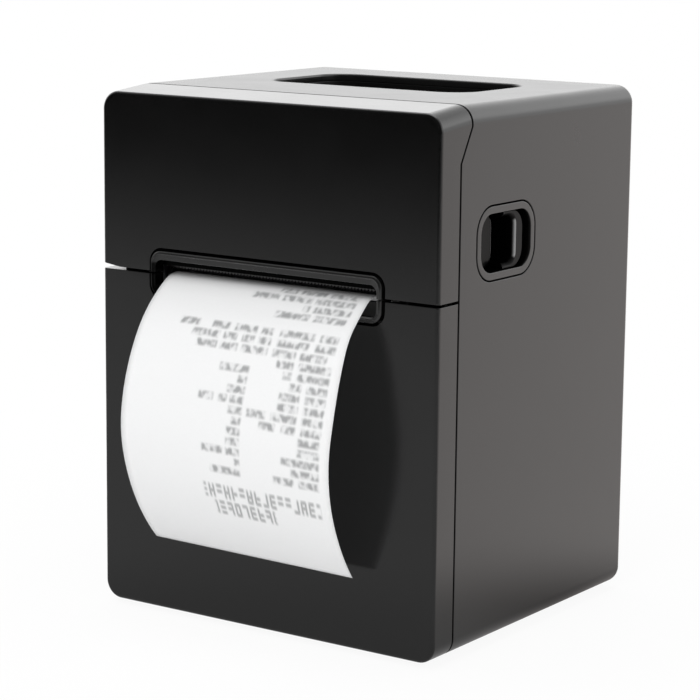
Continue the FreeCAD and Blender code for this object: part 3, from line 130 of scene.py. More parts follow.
def fillRamp(ramp, stops):
    while len(ramp.elements) < len(stops):
        ramp.elements.new(0.5)
    for element, (position, colour) in zip(ramp.elements, stops):
        element.position = position
        element.color = colour


def clearTree(holder):
    holder.use_nodes = True
    holder.node_tree.nodes.clear()
    return holder.node_tree


def grey(value, warm=0.0):
    return (value * (1 + warm), value, value * (1 - warm), 1.0)


noiseMiddle = 0.5  # mean of a noise


def noise(tree, place, scale, detail=2.0):
    return Wire.make(tree, "ShaderNodeTexNoise", {}, {"Vector": place, "Scale": scale, "Detail": detail})


def mixColour(tree, share, first, second):
    return Wire.make(tree, "ShaderNodeMix", {"data_type": "RGBA"}, {0: share, 6: first, 7: second}, out=2)


def stretched(tree, place, scale):
    return Wire.make(tree, "ShaderNodeMapping", {}, {"Vector": place, "Scale": scale})


def objectPlace(tree):
    return Wire.make(tree, "ShaderNodeTexCoord", out="Object")


def finishMaterial(tree, sockets, shade=None):
    shader = Wire.make(tree, "ShaderNodeBsdfPrincipled", {}, sockets)
    # shade is painted here: the surface is mixed toward plain black by that share
    if shade is not None:
        black = Wire.make(tree, "ShaderNodeBsdfDiffuse", {}, {"Color": grey(0.0)})
        shader = Wire.make(tree, "ShaderNodeMixShader", {}, {0: shade, 1: shader, 2: black})
    Wire.make(tree, "ShaderNodeOutputMaterial", {}, {"Surface": shader})


# camera, solved from the straight edges of the case for a square picture
shot = {
    "azimuth": 34.751,  # degrees
    "elevation": 10.561,
    "roll": 0.586,
    "focal": 2505.458,  # pixels
    "picture": 700,
    "distance": 812.252,  # mm
    "aim": (28.5, 90.593),  # mm across and above
    "frontFoot": (0.0, -48.5, 2.0),  # mm, foot of the front face
    "sensor": 36.0,
}


def placeCamera():
    azimuth = math.radians(shot["azimuth"])
    elevation = math.radians(shot["elevation"])
    roll = math.radians(shot["roll"])
    back = Vector((math.sin(azimuth) * math.cos(elevation), -math.cos(azimuth) * math.cos(elevation),
                   math.sin(elevation)))
    right = Vector((math.cos(azimuth), math.sin(azimuth), 0.0))
    up = back.cross(right)
    across = right * math.cos(roll) + up * math.sin(roll)
    above = up * math.cos(roll) - right * math.sin(roll)
    place = Vector(shot["frontFoot"]) + across * shot["aim"][0] + above * shot["aim"][1]
    place += back * shot["distance"]
    lensData = bpy.data.cameras.new("shot_camera")
    lensData.sensor_width = shot["sensor"]
    lensData.lens = shot["sensor"] * shot["focal"] / shot["picture"]
    camera = bpy.data.objects.new("shot_camera", lensData)
    bpy.context.scene.collection.objects.link(camera)
    turn = Matrix((across, above, back)).transposed().to_4x4()
    camera.matrix_world = Matrix.Translation(place * mm) @ turn
    bpy.context.scene.camera = camera


placeCamera()
bpy.context.scene.view_settings.view_transform = "Standard"
print("camera placed")

# studio: white behind and above, dark in front, as the gloss of the covers shows it
studio = {
    "ambient": 0.62,
    "besideTint": (1.0, 0.95, 0.93, 1.0),
    "frontDark": 0.06,  # what gloss sees in front of the printer
    "frontFrom": -0.55,
    "frontTo": 0.25,
    "backLift": 0.60,  # more light low behind the printer
    "backLiftRise": (0.12, 0.26),
    "backLiftFall": (0.50, 0.70),
    "highGloss": 0.70,  # gloss high above the printer
    "highRise": (0.30, 0.60),
    "floorHalf": 20.0,  # metres
    "floorColour": 0.95,
    "floorShow": 0.93,  # share of plain white that the camera sees beside the printer
    "floorClear": (0.10, 0.34),  # metres from the printer's middle over which that share grows to all
    "floorAhead": ((-1.20, 0.0), (-0.55, 0.47)),  # y in metres, gloss on the floor before the printer
    "floorBeside": (-0.06, 0.05),
    "besideGloss": 0.88,
    "paintedNearShadow": (0.78, 0.22),  # painted shadow on the floor close to the printer, seen in gloss: share of the gloss left, ahead and beside
    # from where to where, in metres from the printer's middle, that painted shadow fades out
    "paintedShadowReach": (0.065, 0.165),
    "aim": (0.0, -0.02, 0.09),
    # place and size in metres, power in watts, and whether gloss shows the lamp
    "lamps": (
        ("front_key", (0.25, -0.80, 1.30), 0.8, 5.6, False),
        ("front_fill", (0.10, -1.30, 0.20), 0.5, 3.6, False),
        ("top_soft", (-0.15, 0.25, 1.25), 1.1, 4.0, True),
    ),
}


def seenRays(tree):
    paths = Wire.make(tree, "ShaderNodeLightPath")
    return paths.out("Is Camera Ray").largest(paths.out("Is Transmission Ray")), paths.out("Is Glossy Ray")


def buildWorld():
    world = bpy.data.worlds.new("studio_world")
    bpy.context.scene.world = world
    tree = clearTree(world)
    seen, glossy = seenRays(tree)
    way = Wire.make(tree, "ShaderNodeTexCoord", out="Generated")
    parts = Wire.make(tree, "ShaderNodeSeparateXYZ", {}, {"Vector": way})
    depth, height = parts.out("Y"), parts.out("Z")
    light = depth.rise(studio["frontFrom"], studio["frontTo"])
    lift = height.rise(*studio["backLiftRise"]) * (1.0 - height.rise(*studio["backLiftFall"]))
    high = 1.0 - height.rise(*studio["highRise"]) * (1.0 - studio["highGloss"])
    dark = studio["frontDark"]
    gloss = dark + (1.0 - dark) * light * (1.0 + lift * studio["backLift"]) * high
    plain = (1.0 - seen.largest(glossy)) * studio["ambient"]
    shader = Wire.make(tree, "ShaderNodeBackground", {},
                       {"Color": grey(1.0), "Strength": seen.largest(glossy * gloss) + plain})
    Wire.make(tree, "ShaderNodeOutputWorld", {}, {"Surface": shader})


def floorFinish():
    material = bpy.data.materials.new("studio_floor")
    tree = clearTree(material)
    seen, glossy = seenRays(tree)
    place = objectPlace(tree)
    depth = Wire.make(tree, "ShaderNodeSeparateXYZ", {}, {"Vector": place}).out("Y")
    away = Wire.make(tree, "ShaderNodeVectorMath", {"operation": "LENGTH"}, {"Vector": place}, out="Value")
    (farY, farGloss), (nearY, nearGloss) = studio["floorAhead"]
    ahead = farGloss + depth.rise(farY, nearY) * (nearGloss - farGloss)
    beside = depth.rise(*studio["floorBeside"])
    shadowAhead, shadowBeside = studio["paintedNearShadow"]
    near = shadowAhead + beside * (shadowBeside - shadowAhead)
    gloss = ahead + beside * (studio["besideGloss"] - ahead)
    # painted shadow: the floor's gloss is darker close to the printer
    gloss = gloss * (near + away.rise(*studio["paintedShadowReach"]) * (1.0 - near))
    matte = Wire.make(tree, "ShaderNodeBsdfDiffuse", {}, {"Color": grey(studio["floorColour"])})
    tint = mixColour(tree, glossy * beside, grey(1.0), studio["besideTint"])
    strength = seen.largest(glossy * gloss)
    glow = Wire.make(tree, "ShaderNodeEmission", {}, {"Color": tint, "Strength": strength})
    show = studio["floorShow"] + away.rise(*studio["floorClear"]) * (1.0 - studio["floorShow"])
    shader = Wire.make(tree, "ShaderNodeMixShader", {}, {0: (seen * show).largest(glossy), 1: matte, 2: glow})
    Wire.make(tree, "ShaderNodeOutputMaterial", {}, {"Surface": shader})
    return material


def buildFloor():
    mesh = bpy.data.meshes.new("studio_floor")
    half = studio["floorHalf"]
    corners = [(-half, -half, 0), (half, -half, 0), (half, half, 0), (-half, half, 0)]
    mesh.from_pydata(corners, [], [(0, 1, 2, 3)])
    mesh.materials.append(floorFinish())
    floor = bpy.data.objects.new("studio_floor", mesh)
    bpy.context.scene.collection.objects.link(floor)


def hangLamps():
    aim = Vector(studio["aim"])
    for name, place, size, power, shows in studio["lamps"]:
        lampData = bpy.data.lights.new(name, "AREA")
        lampData.shape = "DISK"
        lampData.size = size
        lampData.energy = power
        lamp = bpy.data.objects.new(name, lampData)
        bpy.context.scene.collection.objects.link(lamp)
        facing = (Vector(place) - aim).to_track_quat("Z", "Y").to_matrix().to_4x4()
        lamp.matrix_world = Matrix.Translation(place) @ facing
        lamp.visible_glossy = shows


buildWorld()
buildFloor()
hangLamps()
print("studio built")

# moulded plastics: base grey, roughness, grain size in 1/m, grain depth in metres, lacquer gloss
# zones of painted shade, where the surface is mixed toward black: each the share taken and along which axes,
# from where to where in metres
# edge: painted highlight, faces made lighter, by the way they face, two limits of that, the reach in x and
# the grey
plastics = {
    "case_black": {"tone": 0.006, "rough": 0.30, "grain": 2600, "depth": 0.000004, "gloss": 0.6},
    "front_black": {"tone": 0.001, "rough": 0.20, "grain": 2600, "depth": 0.000004, "gloss": 0.6},
    "base_black": {"tone": 0.018, "rough": 0.55, "grain": 1800, "depth": 0.00002, "gloss": 0.0},
    "bezel_grey": {"tone": 0.005, "rough": 0.28, "grain": 2600, "depth": 0.000003, "gloss": 1.0,
                   "deep": ((0.95, (("Y", -0.0465, -0.0461),)),
                            (0.90, (("X", -0.0405, -0.0425), ("Y", -0.0492, -0.0488))),
                            (0.85, (("X", -0.0405, -0.0425), ("X", -0.0451, -0.0447),
                                    ("Z", 0.1190, 0.1178))))},
    "tray_black": {"tone": 0.004, "rough": 0.45, "grain": 2200, "depth": 0.000006, "gloss": 0.0,
                   "deep": ((0.35, (("Z", 0.1725, 0.1600),)),)},
    "cup_black": {"tone": 0.006, "rough": 0.30, "grain": 2600, "depth": 0.000004, "gloss": 0.7,
                  "deep": ((0.75, (("X", 0.0656, 0.0648),)),),
                  "edge": ((0.90, 0.43, 0.0), 0.955, 0.985, (0.0, 0.01), 0.25)},
    "lever_grey": {"tone": 0.008, "rough": 0.40, "grain": 2600, "depth": 0.000003, "gloss": 0.0,
                   "deep": ((0.90, (("X", 0.0660, 0.0640),)),),
                   "edge": ((0.707, -0.707, 0.0), 0.92, 0.98, (0.0639, 0.0648), 0.32)},
    "gear_white": {"tone": 0.72, "rough": 0.42, "grain": 2200, "depth": 0.000004, "gloss": 0.0},
    "motor_black": {"tone": 0.022, "rough": 0.45, "grain": 2200, "depth": 0.000006, "gloss": 0.1},
    "bucket_grey": {"tone": 0.070, "rough": 0.50, "grain": 1800, "depth": 0.00001, "gloss": 0.0},
    "socket_black": {"tone": 0.018, "rough": 0.42, "grain": 2200, "depth": 0.000005, "gloss": 0.1},
    "key_black": {"tone": 0.024, "rough": 0.34, "grain": 2400, "depth": 0.000005, "gloss": 0.3},
    "foot_rubber": {"tone": 0.020, "rough": 0.78, "grain": 1500, "depth": 0.00004, "gloss": 0.0},
    "platen_rubber": {"tone": 0.030, "rough": 0.70, "grain": 1800, "depth": 0.00002, "gloss": 0.0},
    "head_ceramic": {"tone": 0.10, "rough": 0.30, "grain": 1400, "depth": 0.000004, "gloss": 0.3},
    "core_card": {"tone": 0.42, "rough": 0.85, "grain": 900, "depth": 0.00004, "gloss": 0.0},
    "board_green": {"tone": 0.060, "rough": 0.40, "grain": 1600, "depth": 0.00001, "gloss": 0.3},
}
plasticShared = {"cloud": 55, "cloudDetail": 3.0, "spread": 0.18, "roughSpread": 0.10, "warm": 0.02,
                 "glossRough": 0.16}
tints = {"core_card": (1.0, 0.78, 0.55), "board_green": (0.25, 1.0, 0.42)}


def paintedHighlightShare(tree, look, parts):
    # painted highlight: 1 on faces turned the way of the edge
    way, low, high, reach, _ = look["edge"]
    facing = Wire.make(tree, "ShaderNodeTexCoord", out="Normal")
    turned = Wire.make(tree, "ShaderNodeVectorMath", {"operation": "DOT_PRODUCT"}, {0: facing, 1: way},
                       out="Value")
    return turned.rise(low, high) * parts.out("X").rise(*reach)


def deepShare(look, parts):
    # painted shade: how much of the surface is mixed toward black deep in a recess
    lost = None
    for share, limits in look["deep"]:
        for axis, start, full in limits:
            share = parts.out(axis).rise(start, full) * share
        lost = share if lost is None else lost.largest(share)
    return lost


def mouldedPlastic(name):
    look = plastics[name]
    material = bpy.data.materials.new(name + "_finish")
    tree = clearTree(material)
    place = objectPlace(tree)
    cloud = noise(tree, place, plasticShared["cloud"], plasticShared["cloudDetail"])
    grain = noise(tree, place, look["grain"])
    tint = tints.get(name, (1 + plasticShared["warm"], 1.0, 1 - plasticShared["warm"]))
    dark = tuple(look["tone"] * (1 - plasticShared["spread"]) * part for part in tint) + (1.0,)
    light = tuple(look["tone"] * (1 + plasticShared["spread"]) * part for part in tint) + (1.0,)
    rough = look["rough"] + (cloud - noiseMiddle) * plasticShared["roughSpread"]
    bump = Wire.make(tree, "ShaderNodeBump", {},
                     {"Strength": 1.0, "Distance": look["depth"], "Height": grain})
    colour = mixColour(tree, cloud, dark, light)
    parts = Wire.make(tree, "ShaderNodeSeparateXYZ", {}, {"Vector": place})
    shade = deepShare(look, parts) if "deep" in look else None
    # painted highlight: faces turned the listed way are made lighter
    if "edge" in look:
        edge = paintedHighlightShare(tree, look, parts)
        colour = mixColour(tree, edge, colour, grey(look["edge"][-1]))
        shade = shade * (1.0 - edge)
    finishMaterial(tree, {
        "Base Color": colour,
        "Roughness": rough,
        "Normal": bump,
        "Coat Weight": look["gloss"],
        "Coat Roughness": plasticShared["glossRough"],
    }, shade)
    return material


# metals: colour, roughness, and how the brushing runs
metals = {
    "blade_steel": {"colour": (0.10, 0.10, 0.10), "rough": 0.34, "brush": (60, 900, 900)},
    "bright_steel": {"colour": (0.62, 0.61, 0.59), "rough": 0.24, "brush": (120, 1500, 1500)},
    "frame_steel": {"colour": (0.52, 0.53, 0.54), "rough": 0.36, "brush": (900, 120, 900)},
    "sink_aluminium": {"colour": (0.66, 0.67, 0.68), "rough": 0.38, "brush": (90, 1300, 1300)},
    # its painted shade in the socket mouths also stands for the black plastic inside them
    "socket_metal": {"colour": (0.60, 0.60, 0.58), "rough": 0.30, "brush": (700, 700, 90),
                     "deep": ((0.96, (("Y", 0.0659, 0.0654),)),)},
}
metalShared = {"detail": 3.0, "spread": 0.12, "roughSpread": 0.14, "depth": 0.000006}


def brushedMetal(name):
    look = metals[name]
    material = bpy.data.materials.new(name + "_finish")
    tree = clearTree(material)
    place = objectPlace(tree)
    parts = Wire.make(tree, "ShaderNodeSeparateXYZ", {}, {"Vector": place})
    streak = noise(tree, stretched(tree, place, look["brush"]), 1.0, metalShared["detail"])
    dark = tuple(part * (1 - metalShared["spread"]) for part in look["colour"]) + (1.0,)
    light = tuple(min(1.0, part * (1 + metalShared["spread"])) for part in look["colour"]) + (1.0,)
    bump = Wire.make(tree, "ShaderNodeBump", {}, {"Distance": metalShared["depth"], "Height": streak})
    finishMaterial(tree, {
        "Base Color": mixColour(tree, streak, dark, light),
        "Metallic": 1.0,
        "Roughness": look["rough"] + (streak - noiseMiddle) * metalShared["roughSpread"],
        "Normal": bump,
    }, deepShare(look, parts) if "deep" in look else None)
    return material


# thermal paper: its white, its fibre and the rings that its layers leave on the ends of the roll
paperLook = {
    "white": (0.84, 0.843, 0.846),
    "shade": 0.96,
    "rough": 0.62,
    "fibre": 1400,
    "detail": 3.0,
    "depth": 0.000006,
    "endFacing": (0.5, 0.9),  # how far a face is turned to the side to count as an end
    "rollY": 0.0135,
    "rollZ": 0.049,
    "layers": 2400,
    "layerShade": 0.80,
}


def paperWhite(tree, place):
    fibre = noise(tree, place, paperLook["fibre"], paperLook["detail"])
    shade = tuple(part * paperLook["shade"] for part in paperLook["white"]) + (1.0,)
    white = mixColour(tree, fibre, shade, paperLook["white"] + (1.0,))
    bump = Wire.make(tree, "ShaderNodeBump", {}, {"Distance": paperLook["depth"], "Height": fibre})
    return white, bump


def plainPaper(name, glow):
    material = bpy.data.materials.new(name)
    tree = clearTree(material)
    place = objectPlace(tree)
    white, bump = paperWhite(tree, place)
    parts = Wire.make(tree, "ShaderNodeSeparateXYZ", {}, {"Vector": place})
    aside = parts.out("Y") - paperLook["rollY"]
    above = parts.out("Z") - paperLook["rollZ"]
    reach = (aside * aside + above * above).root()
    ring = (reach * paperLook["layers"]).fract()
    facing = Wire.make(tree, "ShaderNodeSeparateXYZ", {},
                       {"Vector": Wire.make(tree, "ShaderNodeTexCoord", out="Normal")}).out("X")
    onEnd = facing.size().rise(*paperLook["endFacing"])
    shade = tuple(part * paperLook["layerShade"] for part in paperLook["white"]) + (1.0,)
    colour = mixColour(tree, onEnd * ring, white, shade)
    # glow is painted light: an emission that stands in for light coming through the paper
    finishMaterial(tree, {"Base Color": colour, "Roughness": paperLook["rough"], "Normal": bump,
                          "Emission Color": colour, "Emission Strength": glow})
    return material


# print on the strip: grey word blocks that no one can read, each row's words as shares of the width
printLook = {
    "ink": (0.15, 0.155, 0.16),
    "slotShade": ((0.0, 0.45), (0.25, 0.60), (0.4, 0.85), (0.55, 0.95), (0.75, 1.0)),
    "slotReach": (-10.0, 10.0),  # mm past the front face
    "wordsPerRamp": 2,
    "halfRow": 0.5,
    "wordSoft": 0.008,
    "blocks": (
        {
            "first": -1.88,  # mm, middle of the first row
            "pitch": 3.28,
            "letter": 1.62,
            "smudge": {"scale": 0.95, "detail": 0.5, "squeeze": 1.3, "from": 0.28, "to": 0.66, "least": 0.15,
                       "top": 0.14, "foot": 0.86, "soft": 0.22},
            "strength": 0.70,
            "rows": (
                ((0.58, 0.66), (0.68, 0.80), (0.82, 0.955)),
                ((0.46, 0.59), (0.61, 0.75), (0.77, 0.955)),
                ((0.73, 0.76), (0.78, 0.955)),
                ((0.615, 0.78), (0.80, 0.955)),
                (),
                ((0.19, 0.285), (0.35, 0.435), (0.46, 0.57), (0.59, 0.65), (0.68, 0.845), (0.87, 0.955)),
                ((0.265, 0.40), (0.42, 0.485), (0.51, 0.57), (0.59, 0.65), (0.68, 0.83), (0.86, 0.955)),
                ((0.30, 0.40), (0.415, 0.50), (0.52, 0.645), (0.67, 0.78), (0.80, 0.925)),
                ((0.70, 0.78), (0.805, 0.955)),
                ((0.44, 0.58), (0.74, 0.78), (0.805, 0.955)),
                ((0.535, 0.58), (0.78, 0.835), (0.86, 0.955)),
                ((0.495, 0.58), (0.74, 0.835), (0.86, 0.955)),
                ((0.365, 0.435), (0.46, 0.50), (0.515, 0.58), (0.74, 0.835), (0.86, 0.955)),
                ((0.51, 0.58), (0.60, 0.69), (0.715, 0.835), (0.86, 0.955)),
                ((0.535, 0.58), (0.665, 0.74), (0.77, 0.835), (0.86, 0.955)),
                ((0.515, 0.58), (0.85, 0.955)),
                ((0.515, 0.58), (0.85, 0.955)),
                ((0.40, 0.50), (0.515, 0.58), (0.78, 0.955)),
                ((0.555, 0.58), (0.825, 0.955)),
                ((0.435, 0.58), (0.74, 0.835), (0.86, 0.955)),
            ),
        },
        {
            "first": 68.4,
            "pitch": 6.0,
            "letter": 2.95,
            "soft": 0.17,
            "strength": 0.95,
            "rows": (((0.39, 0.95),), ((0.43, 0.72),)),
        },
    ),
    # strokes of a letter as left, right, top and foot shares of its cell, and the share of letters without it
    "strokes": (
        (0.16, 0.34, 0.10, 0.90, 0.30), (0.66, 0.84, 0.10, 0.90, 0.40), (0.16, 0.84, 0.10, 0.24, 0.45),
        (0.16, 0.84, 0.43, 0.57, 0.35), (0.16, 0.84, 0.76, 0.90, 0.50),
    ),
}


def pulse(value, low, high, soft):
    return value.rise(low - soft, low + soft) * (1.0 - value.rise(high - soft, high + soft))


def wordShare(tree, across, index, look):
    # 1 inside the words of a row, read from ramps whose colours hold the ends of two words
    rows, count, half = look["rows"], printLook["wordsPerRamp"], printLook["halfRow"]
    inside = None
    for first in range(0, max(len(row) for row in rows), count):
        stops = []
        for number, row in enumerate(rows):
            words = [end for word in row[first:first + count] for end in word]
            stops.append((number / len(rows), tuple(words + [0.0] * (2 * count - len(words)))))
        ramp = Wire.make(tree, "ShaderNodeValToRGB", {"stops": stops}, {"Fac": (index + half) / len(rows)})
        ramp.socket.node.color_ramp.interpolation = "CONSTANT"
        parts = Wire.make(tree, "ShaderNodeSeparateColor", {}, {"Color": ramp})
        soft = printLook["wordSoft"]
        words = pulse(across, parts.out("Red"), parts.out("Green"), soft)
        words = words.largest(pulse(across, parts.out("Blue"), ramp.out("Alpha"), soft))
        inside = words if inside is None else inside.largest(words)
    return inside * (index > -half) * (index < len(rows) - half)


def letterShare(tree, across, row, index, look):
    # strokes picked by chance for every letter's cell
    column = across * (sheetLook["width"] / look["letter"])
    cell = Wire.make(tree, "ShaderNodeCombineXYZ", {}, {"X": column.floor(), "Y": index})
    ink = None
    for number, (left, right, top, foot, missing) in enumerate(printLook["strokes"]):
        chance = Wire.make(tree, "ShaderNodeTexWhiteNoise", {"noise_dimensions": "4D"},
                           {"Vector": cell, "W": float(number)})
        wide = pulse(column.fract(), left, right, look["soft"])
        stroke = wide * pulse(row.fract(), top, foot, look["soft"]) * (chance > missing)
        ink = stroke if ink is None else ink.largest(stroke)
    return ink


def smudgeShare(tree, across, row, look):
    # blurred small print
    smudge = look["smudge"]
    column = across * (sheetLook["width"] / look["letter"])
    place = Wire.make(tree, "ShaderNodeCombineXYZ", {}, {"X": column, "Y": row * smudge["squeeze"]})
    blot = noise(tree, place, smudge["scale"], smudge["detail"])
    blot = smudge["least"] + blot.rise(smudge["from"], smudge["to"]) * (1.0 - smudge["least"])
    return blot * pulse(row.fract(), smudge["top"], smudge["foot"], smudge["soft"])


def inkShare(tree, across, along):
    ink = None
    for look in printLook["blocks"]:
        row = (along - look["first"]) / look["pitch"] + printLook["halfRow"]
        index = row.floor()
        if "smudge" in look:
            letters = smudgeShare(tree, across, row, look)
        else:
            letters = letterShare(tree, across, row, index, look)
        share = wordShare(tree, across, index, look) * letters * look["strength"]
        ink = share if ink is None else ink.largest(share)
    return ink


def printedPaper():
    material = bpy.data.materials.new("receipt_finish")
    tree = clearTree(material)
    white, bump = paperWhite(tree, objectPlace(tree))
    flat = Wire.make(tree, "ShaderNodeUVMap", {"uv_map": "sheet"})
    parts = Wire.make(tree, "ShaderNodeSeparateXYZ", {}, {"Vector": flat})
    along = parts.out("Y") * sheetLook["uvLength"] - sheetLook["inside"]
    printed = mixColour(tree, inkShare(tree, parts.out("X"), along), white, printLook["ink"] + (1.0,))
    low, high = printLook["slotReach"]
    stops = [(place, grey(shade)) for place, shade in printLook["slotShade"]]
    shade = Wire.make(tree, "ShaderNodeValToRGB", {"stops": stops}, {"Fac": (along - low) / (high - low)})
    colour = mixColour(tree, shade, grey(0.0), printed)
    finishMaterial(tree, {"Base Color": colour, "Roughness": paperLook["rough"], "Normal": bump})
    return material


finishes = {name: mouldedPlastic(name) for name in plastics}
finishes.update({name: brushedMetal(name) for name in metals})
finishes["thermal_paper"] = plainPaper("thermal_paper_finish", 0.0)
print("materials made:", len(finishes))

# nodes shown as merged copies with small rounds on their edges: round in mm, and how many steps it takes
shells = {
    "rear_housing": (0.30, 3), "upper_front_cover": (0.25, 3), "lower_front_door": (0.25, 3),
    "exit_bezel_upper": (0.30, 3), "exit_bezel_lower": (0.30, 3), "top_tray": (0.25, 2),
    "release_cup": (0.25, 3), "release_lever": (0.16, 3), "base_plate": (0.25, 2), "rubber_feet": (0.60, 3),
    "mechanism_frame": (0.12, 2), "print_head": (0.10, 2), "head_heatsink": (0.20, 2),
    "head_springs": (0.08, 2), "lever_spring": (0.08, 2), "platen_roller": (0.20, 2),
    "platen_shaft": (0.15, 2),
    "platen_bushes": (0.20, 2), "platen_gear": (0.08, 1), "idler_gear": (0.08, 1), "idler_stud": (0.12, 2),
    "motor_pinion": (0.06, 1), "feed_motor": (0.30, 2), "latch_shaft": (0.15, 2), "latch_hooks": (0.15, 2),
    "paper_bucket": (0.30, 2), "roll_core": (0.15, 2), "main_board": (0.10, 1), "power_socket": (0.20, 2),
    "usb_socket": (0.15, 2), "network_socket": (0.20, 2), "drawer_socket": (0.20, 2),
    "switch_frame": (0.25, 2),
    "power_rocker": (0.35, 3), "feed_button": (0.35, 3), "feed_key": (0.20, 2), "door_hinge_pins": (0.15, 2),
    "head_pivot_shaft": (0.15, 2), "base_screws": (0.10, 2), "frame_screws": (0.10, 2), "tear_bar": (0.05, 1),
    "paper_roll": (0.10, 2), "paper_web": (0.02, 1),
}
shellShared = {
    "mergeWithin": 1e-6,
    "flatWithin": 0.5,  # degrees
    "roundOver": 28.0,
    "roomStep": 0.25,  # mm between the places at which an edge looks for its neighbours
    "roomShare": 0.40,  # share of the room beside an edge that its round may take
    "askew": 0.35,  # how far from square across the edge a neighbour may lie
    "leastShare": 0.15,
    "straightOn": -0.82,  # cosine between two edges of a smooth run
    "leastFlat": 2e-8,  # square metres
    "tileWithin": 1e-5,
}

nodeSlot = {node: piece.material_slots[0].material.name for node, piece in frame["nodes"].items()}
nodeBody = {node: body for body, nodes in frame["record"]["behaviour"]["bodies"].items() for node in nodes}


def mergedMesh(node):
    source = frame["nodes"][node].data
    work = bmesh.new()
    corners = [work.verts.new(vertex.co) for vertex in source.vertices]
    for face in source.polygons:
        try:
            work.faces.new([corners[index] for index in face.vertices])
        except ValueError:
            continue
    bmesh.ops.remove_doubles(work, verts=work.verts, dist=shellShared["mergeWithin"])
    bmesh.ops.dissolve_degenerate(work, edges=work.edges, dist=shellShared["mergeWithin"])
    bmesh.ops.dissolve_limit(work, angle_limit=math.radians(shellShared["flatWithin"]), verts=work.verts,
                             edges=work.edges, use_dissolve_boundaries=False)
    return work


def edgePlaces(edge):
    # evenly spaced places along an edge
    first, last = (vertex.co for vertex in edge.verts)
    count = max(1, int(edge.calc_length() / (shellShared["roomStep"] * mm)))
    return [first.lerp(last, (number + 0.5) / count) for number in range(count)]


def roundShares(work, width):
    # each sharp edge's share of the round's width, less where another sharp edge runs close beside it
    sharp = [edge for edge in work.edges if len(edge.link_faces) == 2
             and edge.calc_face_angle(0.0) > math.radians(shellShared["roundOver"])]
    places = [place for edge in sharp for place in edgePlaces(edge)]
    tree = KDTree(len(places))
    for number, place in enumerate(places):
        tree.insert(place, number)
    tree.balance()
    shares = {}
    reach = width / shellShared["roomShare"]
    for edge in sharp:
        first, last = (vertex.co for vertex in edge.verts)
        along = (last - first).normalized()
        room = reach
        for here in edgePlaces(edge):
            for there, _, gap in tree.find_range(here, reach):
                beside = abs((there - here).dot(along)) < shellShared["askew"] * gap
                if beside and shellShared["mergeWithin"] < gap < room:
                    room = gap
        shares[edge] = room / reach
    return evenShares(shares)


def evenShares(shares):
    # one share along each smooth run of sharp edges, the least of them
    even = {}
    for start in shares:
        if start in even:
            continue
        run, queue = {start}, [start]
        while queue:
            edge = queue.pop()
            for vertex in edge.verts:
                away = (edge.other_vert(vertex).co - vertex.co).normalized()
                for other in vertex.link_edges:
                    onward = (other.other_vert(vertex).co - vertex.co).normalized()
                    if other in shares and other not in run and away.dot(onward) < shellShared["straightOn"]:
                        run.add(other)
                        queue.append(other)
        least = max(shellShared["leastShare"], min(shares[edge] for edge in run))
        even.update({edge: least for edge in run})
    return {edge.index: share for edge, share in even.items()}


def bake(piece):
    # the piece's modifiers become its mesh
    graph = bpy.context.evaluated_depsgraph_get()
    mesh = bpy.data.meshes.new_from_object(piece.evaluated_get(graph))
    piece.modifiers.clear()
    piece.data = mesh
    return piece


def flatRegions(work):
    # groups of neighbouring faces that lie in one plane, each with its plane's normal
    seen, regions = set(), []
    for seed in sorted(work.faces, key=lambda face: -face.calc_area()):
        if seed in seen or seed.calc_area() < shellShared["leastFlat"]:
            continue
        normal, height = seed.normal.copy(), seed.normal.dot(seed.verts[0].co)
        region, queue = [], [seed]
        seen.add(seed)
        while queue:
            face = queue.pop()
            region.append(face)
            for other in (near for edge in face.edges for near in edge.link_faces if near not in seen):
                offs = [abs(normal.dot(vertex.co) - height) for vertex in other.verts]
                if max(offs) < shellShared["mergeWithin"]:
                    seen.add(other)
                    queue.append(other)
        if len(region) > 1 or len(seed.verts) > 4:
            regions.append((region, normal))
    return regions


def insideLoops(place, walls):
    crossed = False
    for (x0, y0), (x1, y1) in walls:
        if (y0 > place[1]) != (y1 > place[1]) and place[0] < x0 + (place[1] - y0) * (x1 - x0) / (y1 - y0):
            crossed = not crossed
    return crossed


def retile(work):
    # fresh triangles for every flat region, as rounding can fold the old ones
    for region, normal in flatRegions(work):
        members = set(region)
        rim = [edge for face in region for edge in face.edges
               if sum(near in members for near in edge.link_faces) == 1]
        corners = list({vertex for edge in rim for vertex in edge.verts})
        number = {vertex: index for index, vertex in enumerate(corners)}
        level = normal.dot(corners[0].co)
        across = normal.orthogonal().normalized()
        upward = normal.cross(across)
        flat = [Vector((vertex.co.dot(across), vertex.co.dot(upward))) / mm for vertex in corners]
        links = [(number[edge.verts[0]], number[edge.verts[1]]) for edge in rim]
        walls = [(flat[a], flat[b]) for a, b in links]
        places, _, tiles, origins, _, _ = delaunay_2d_cdt(flat, links, [], 0, shellShared["tileWithin"])
        bmesh.ops.delete(work, geom=region, context="FACES_ONLY")
        placed = []
        for place, origin in zip(places, origins):
            if origin:
                placed.append(corners[origin[0]])
            else:
                placed.append(work.verts.new((across * place.x + upward * place.y) * mm + normal * level))
        for tile in tiles:
            middle = sum((places[index] for index in tile), Vector((0, 0))) / len(tile)
            if insideLoops(middle, walls):
                work.faces.new([placed[index] for index in tile])
    bmesh.ops.delete(work, geom=[edge for edge in work.edges if not edge.link_faces], context="EDGES")


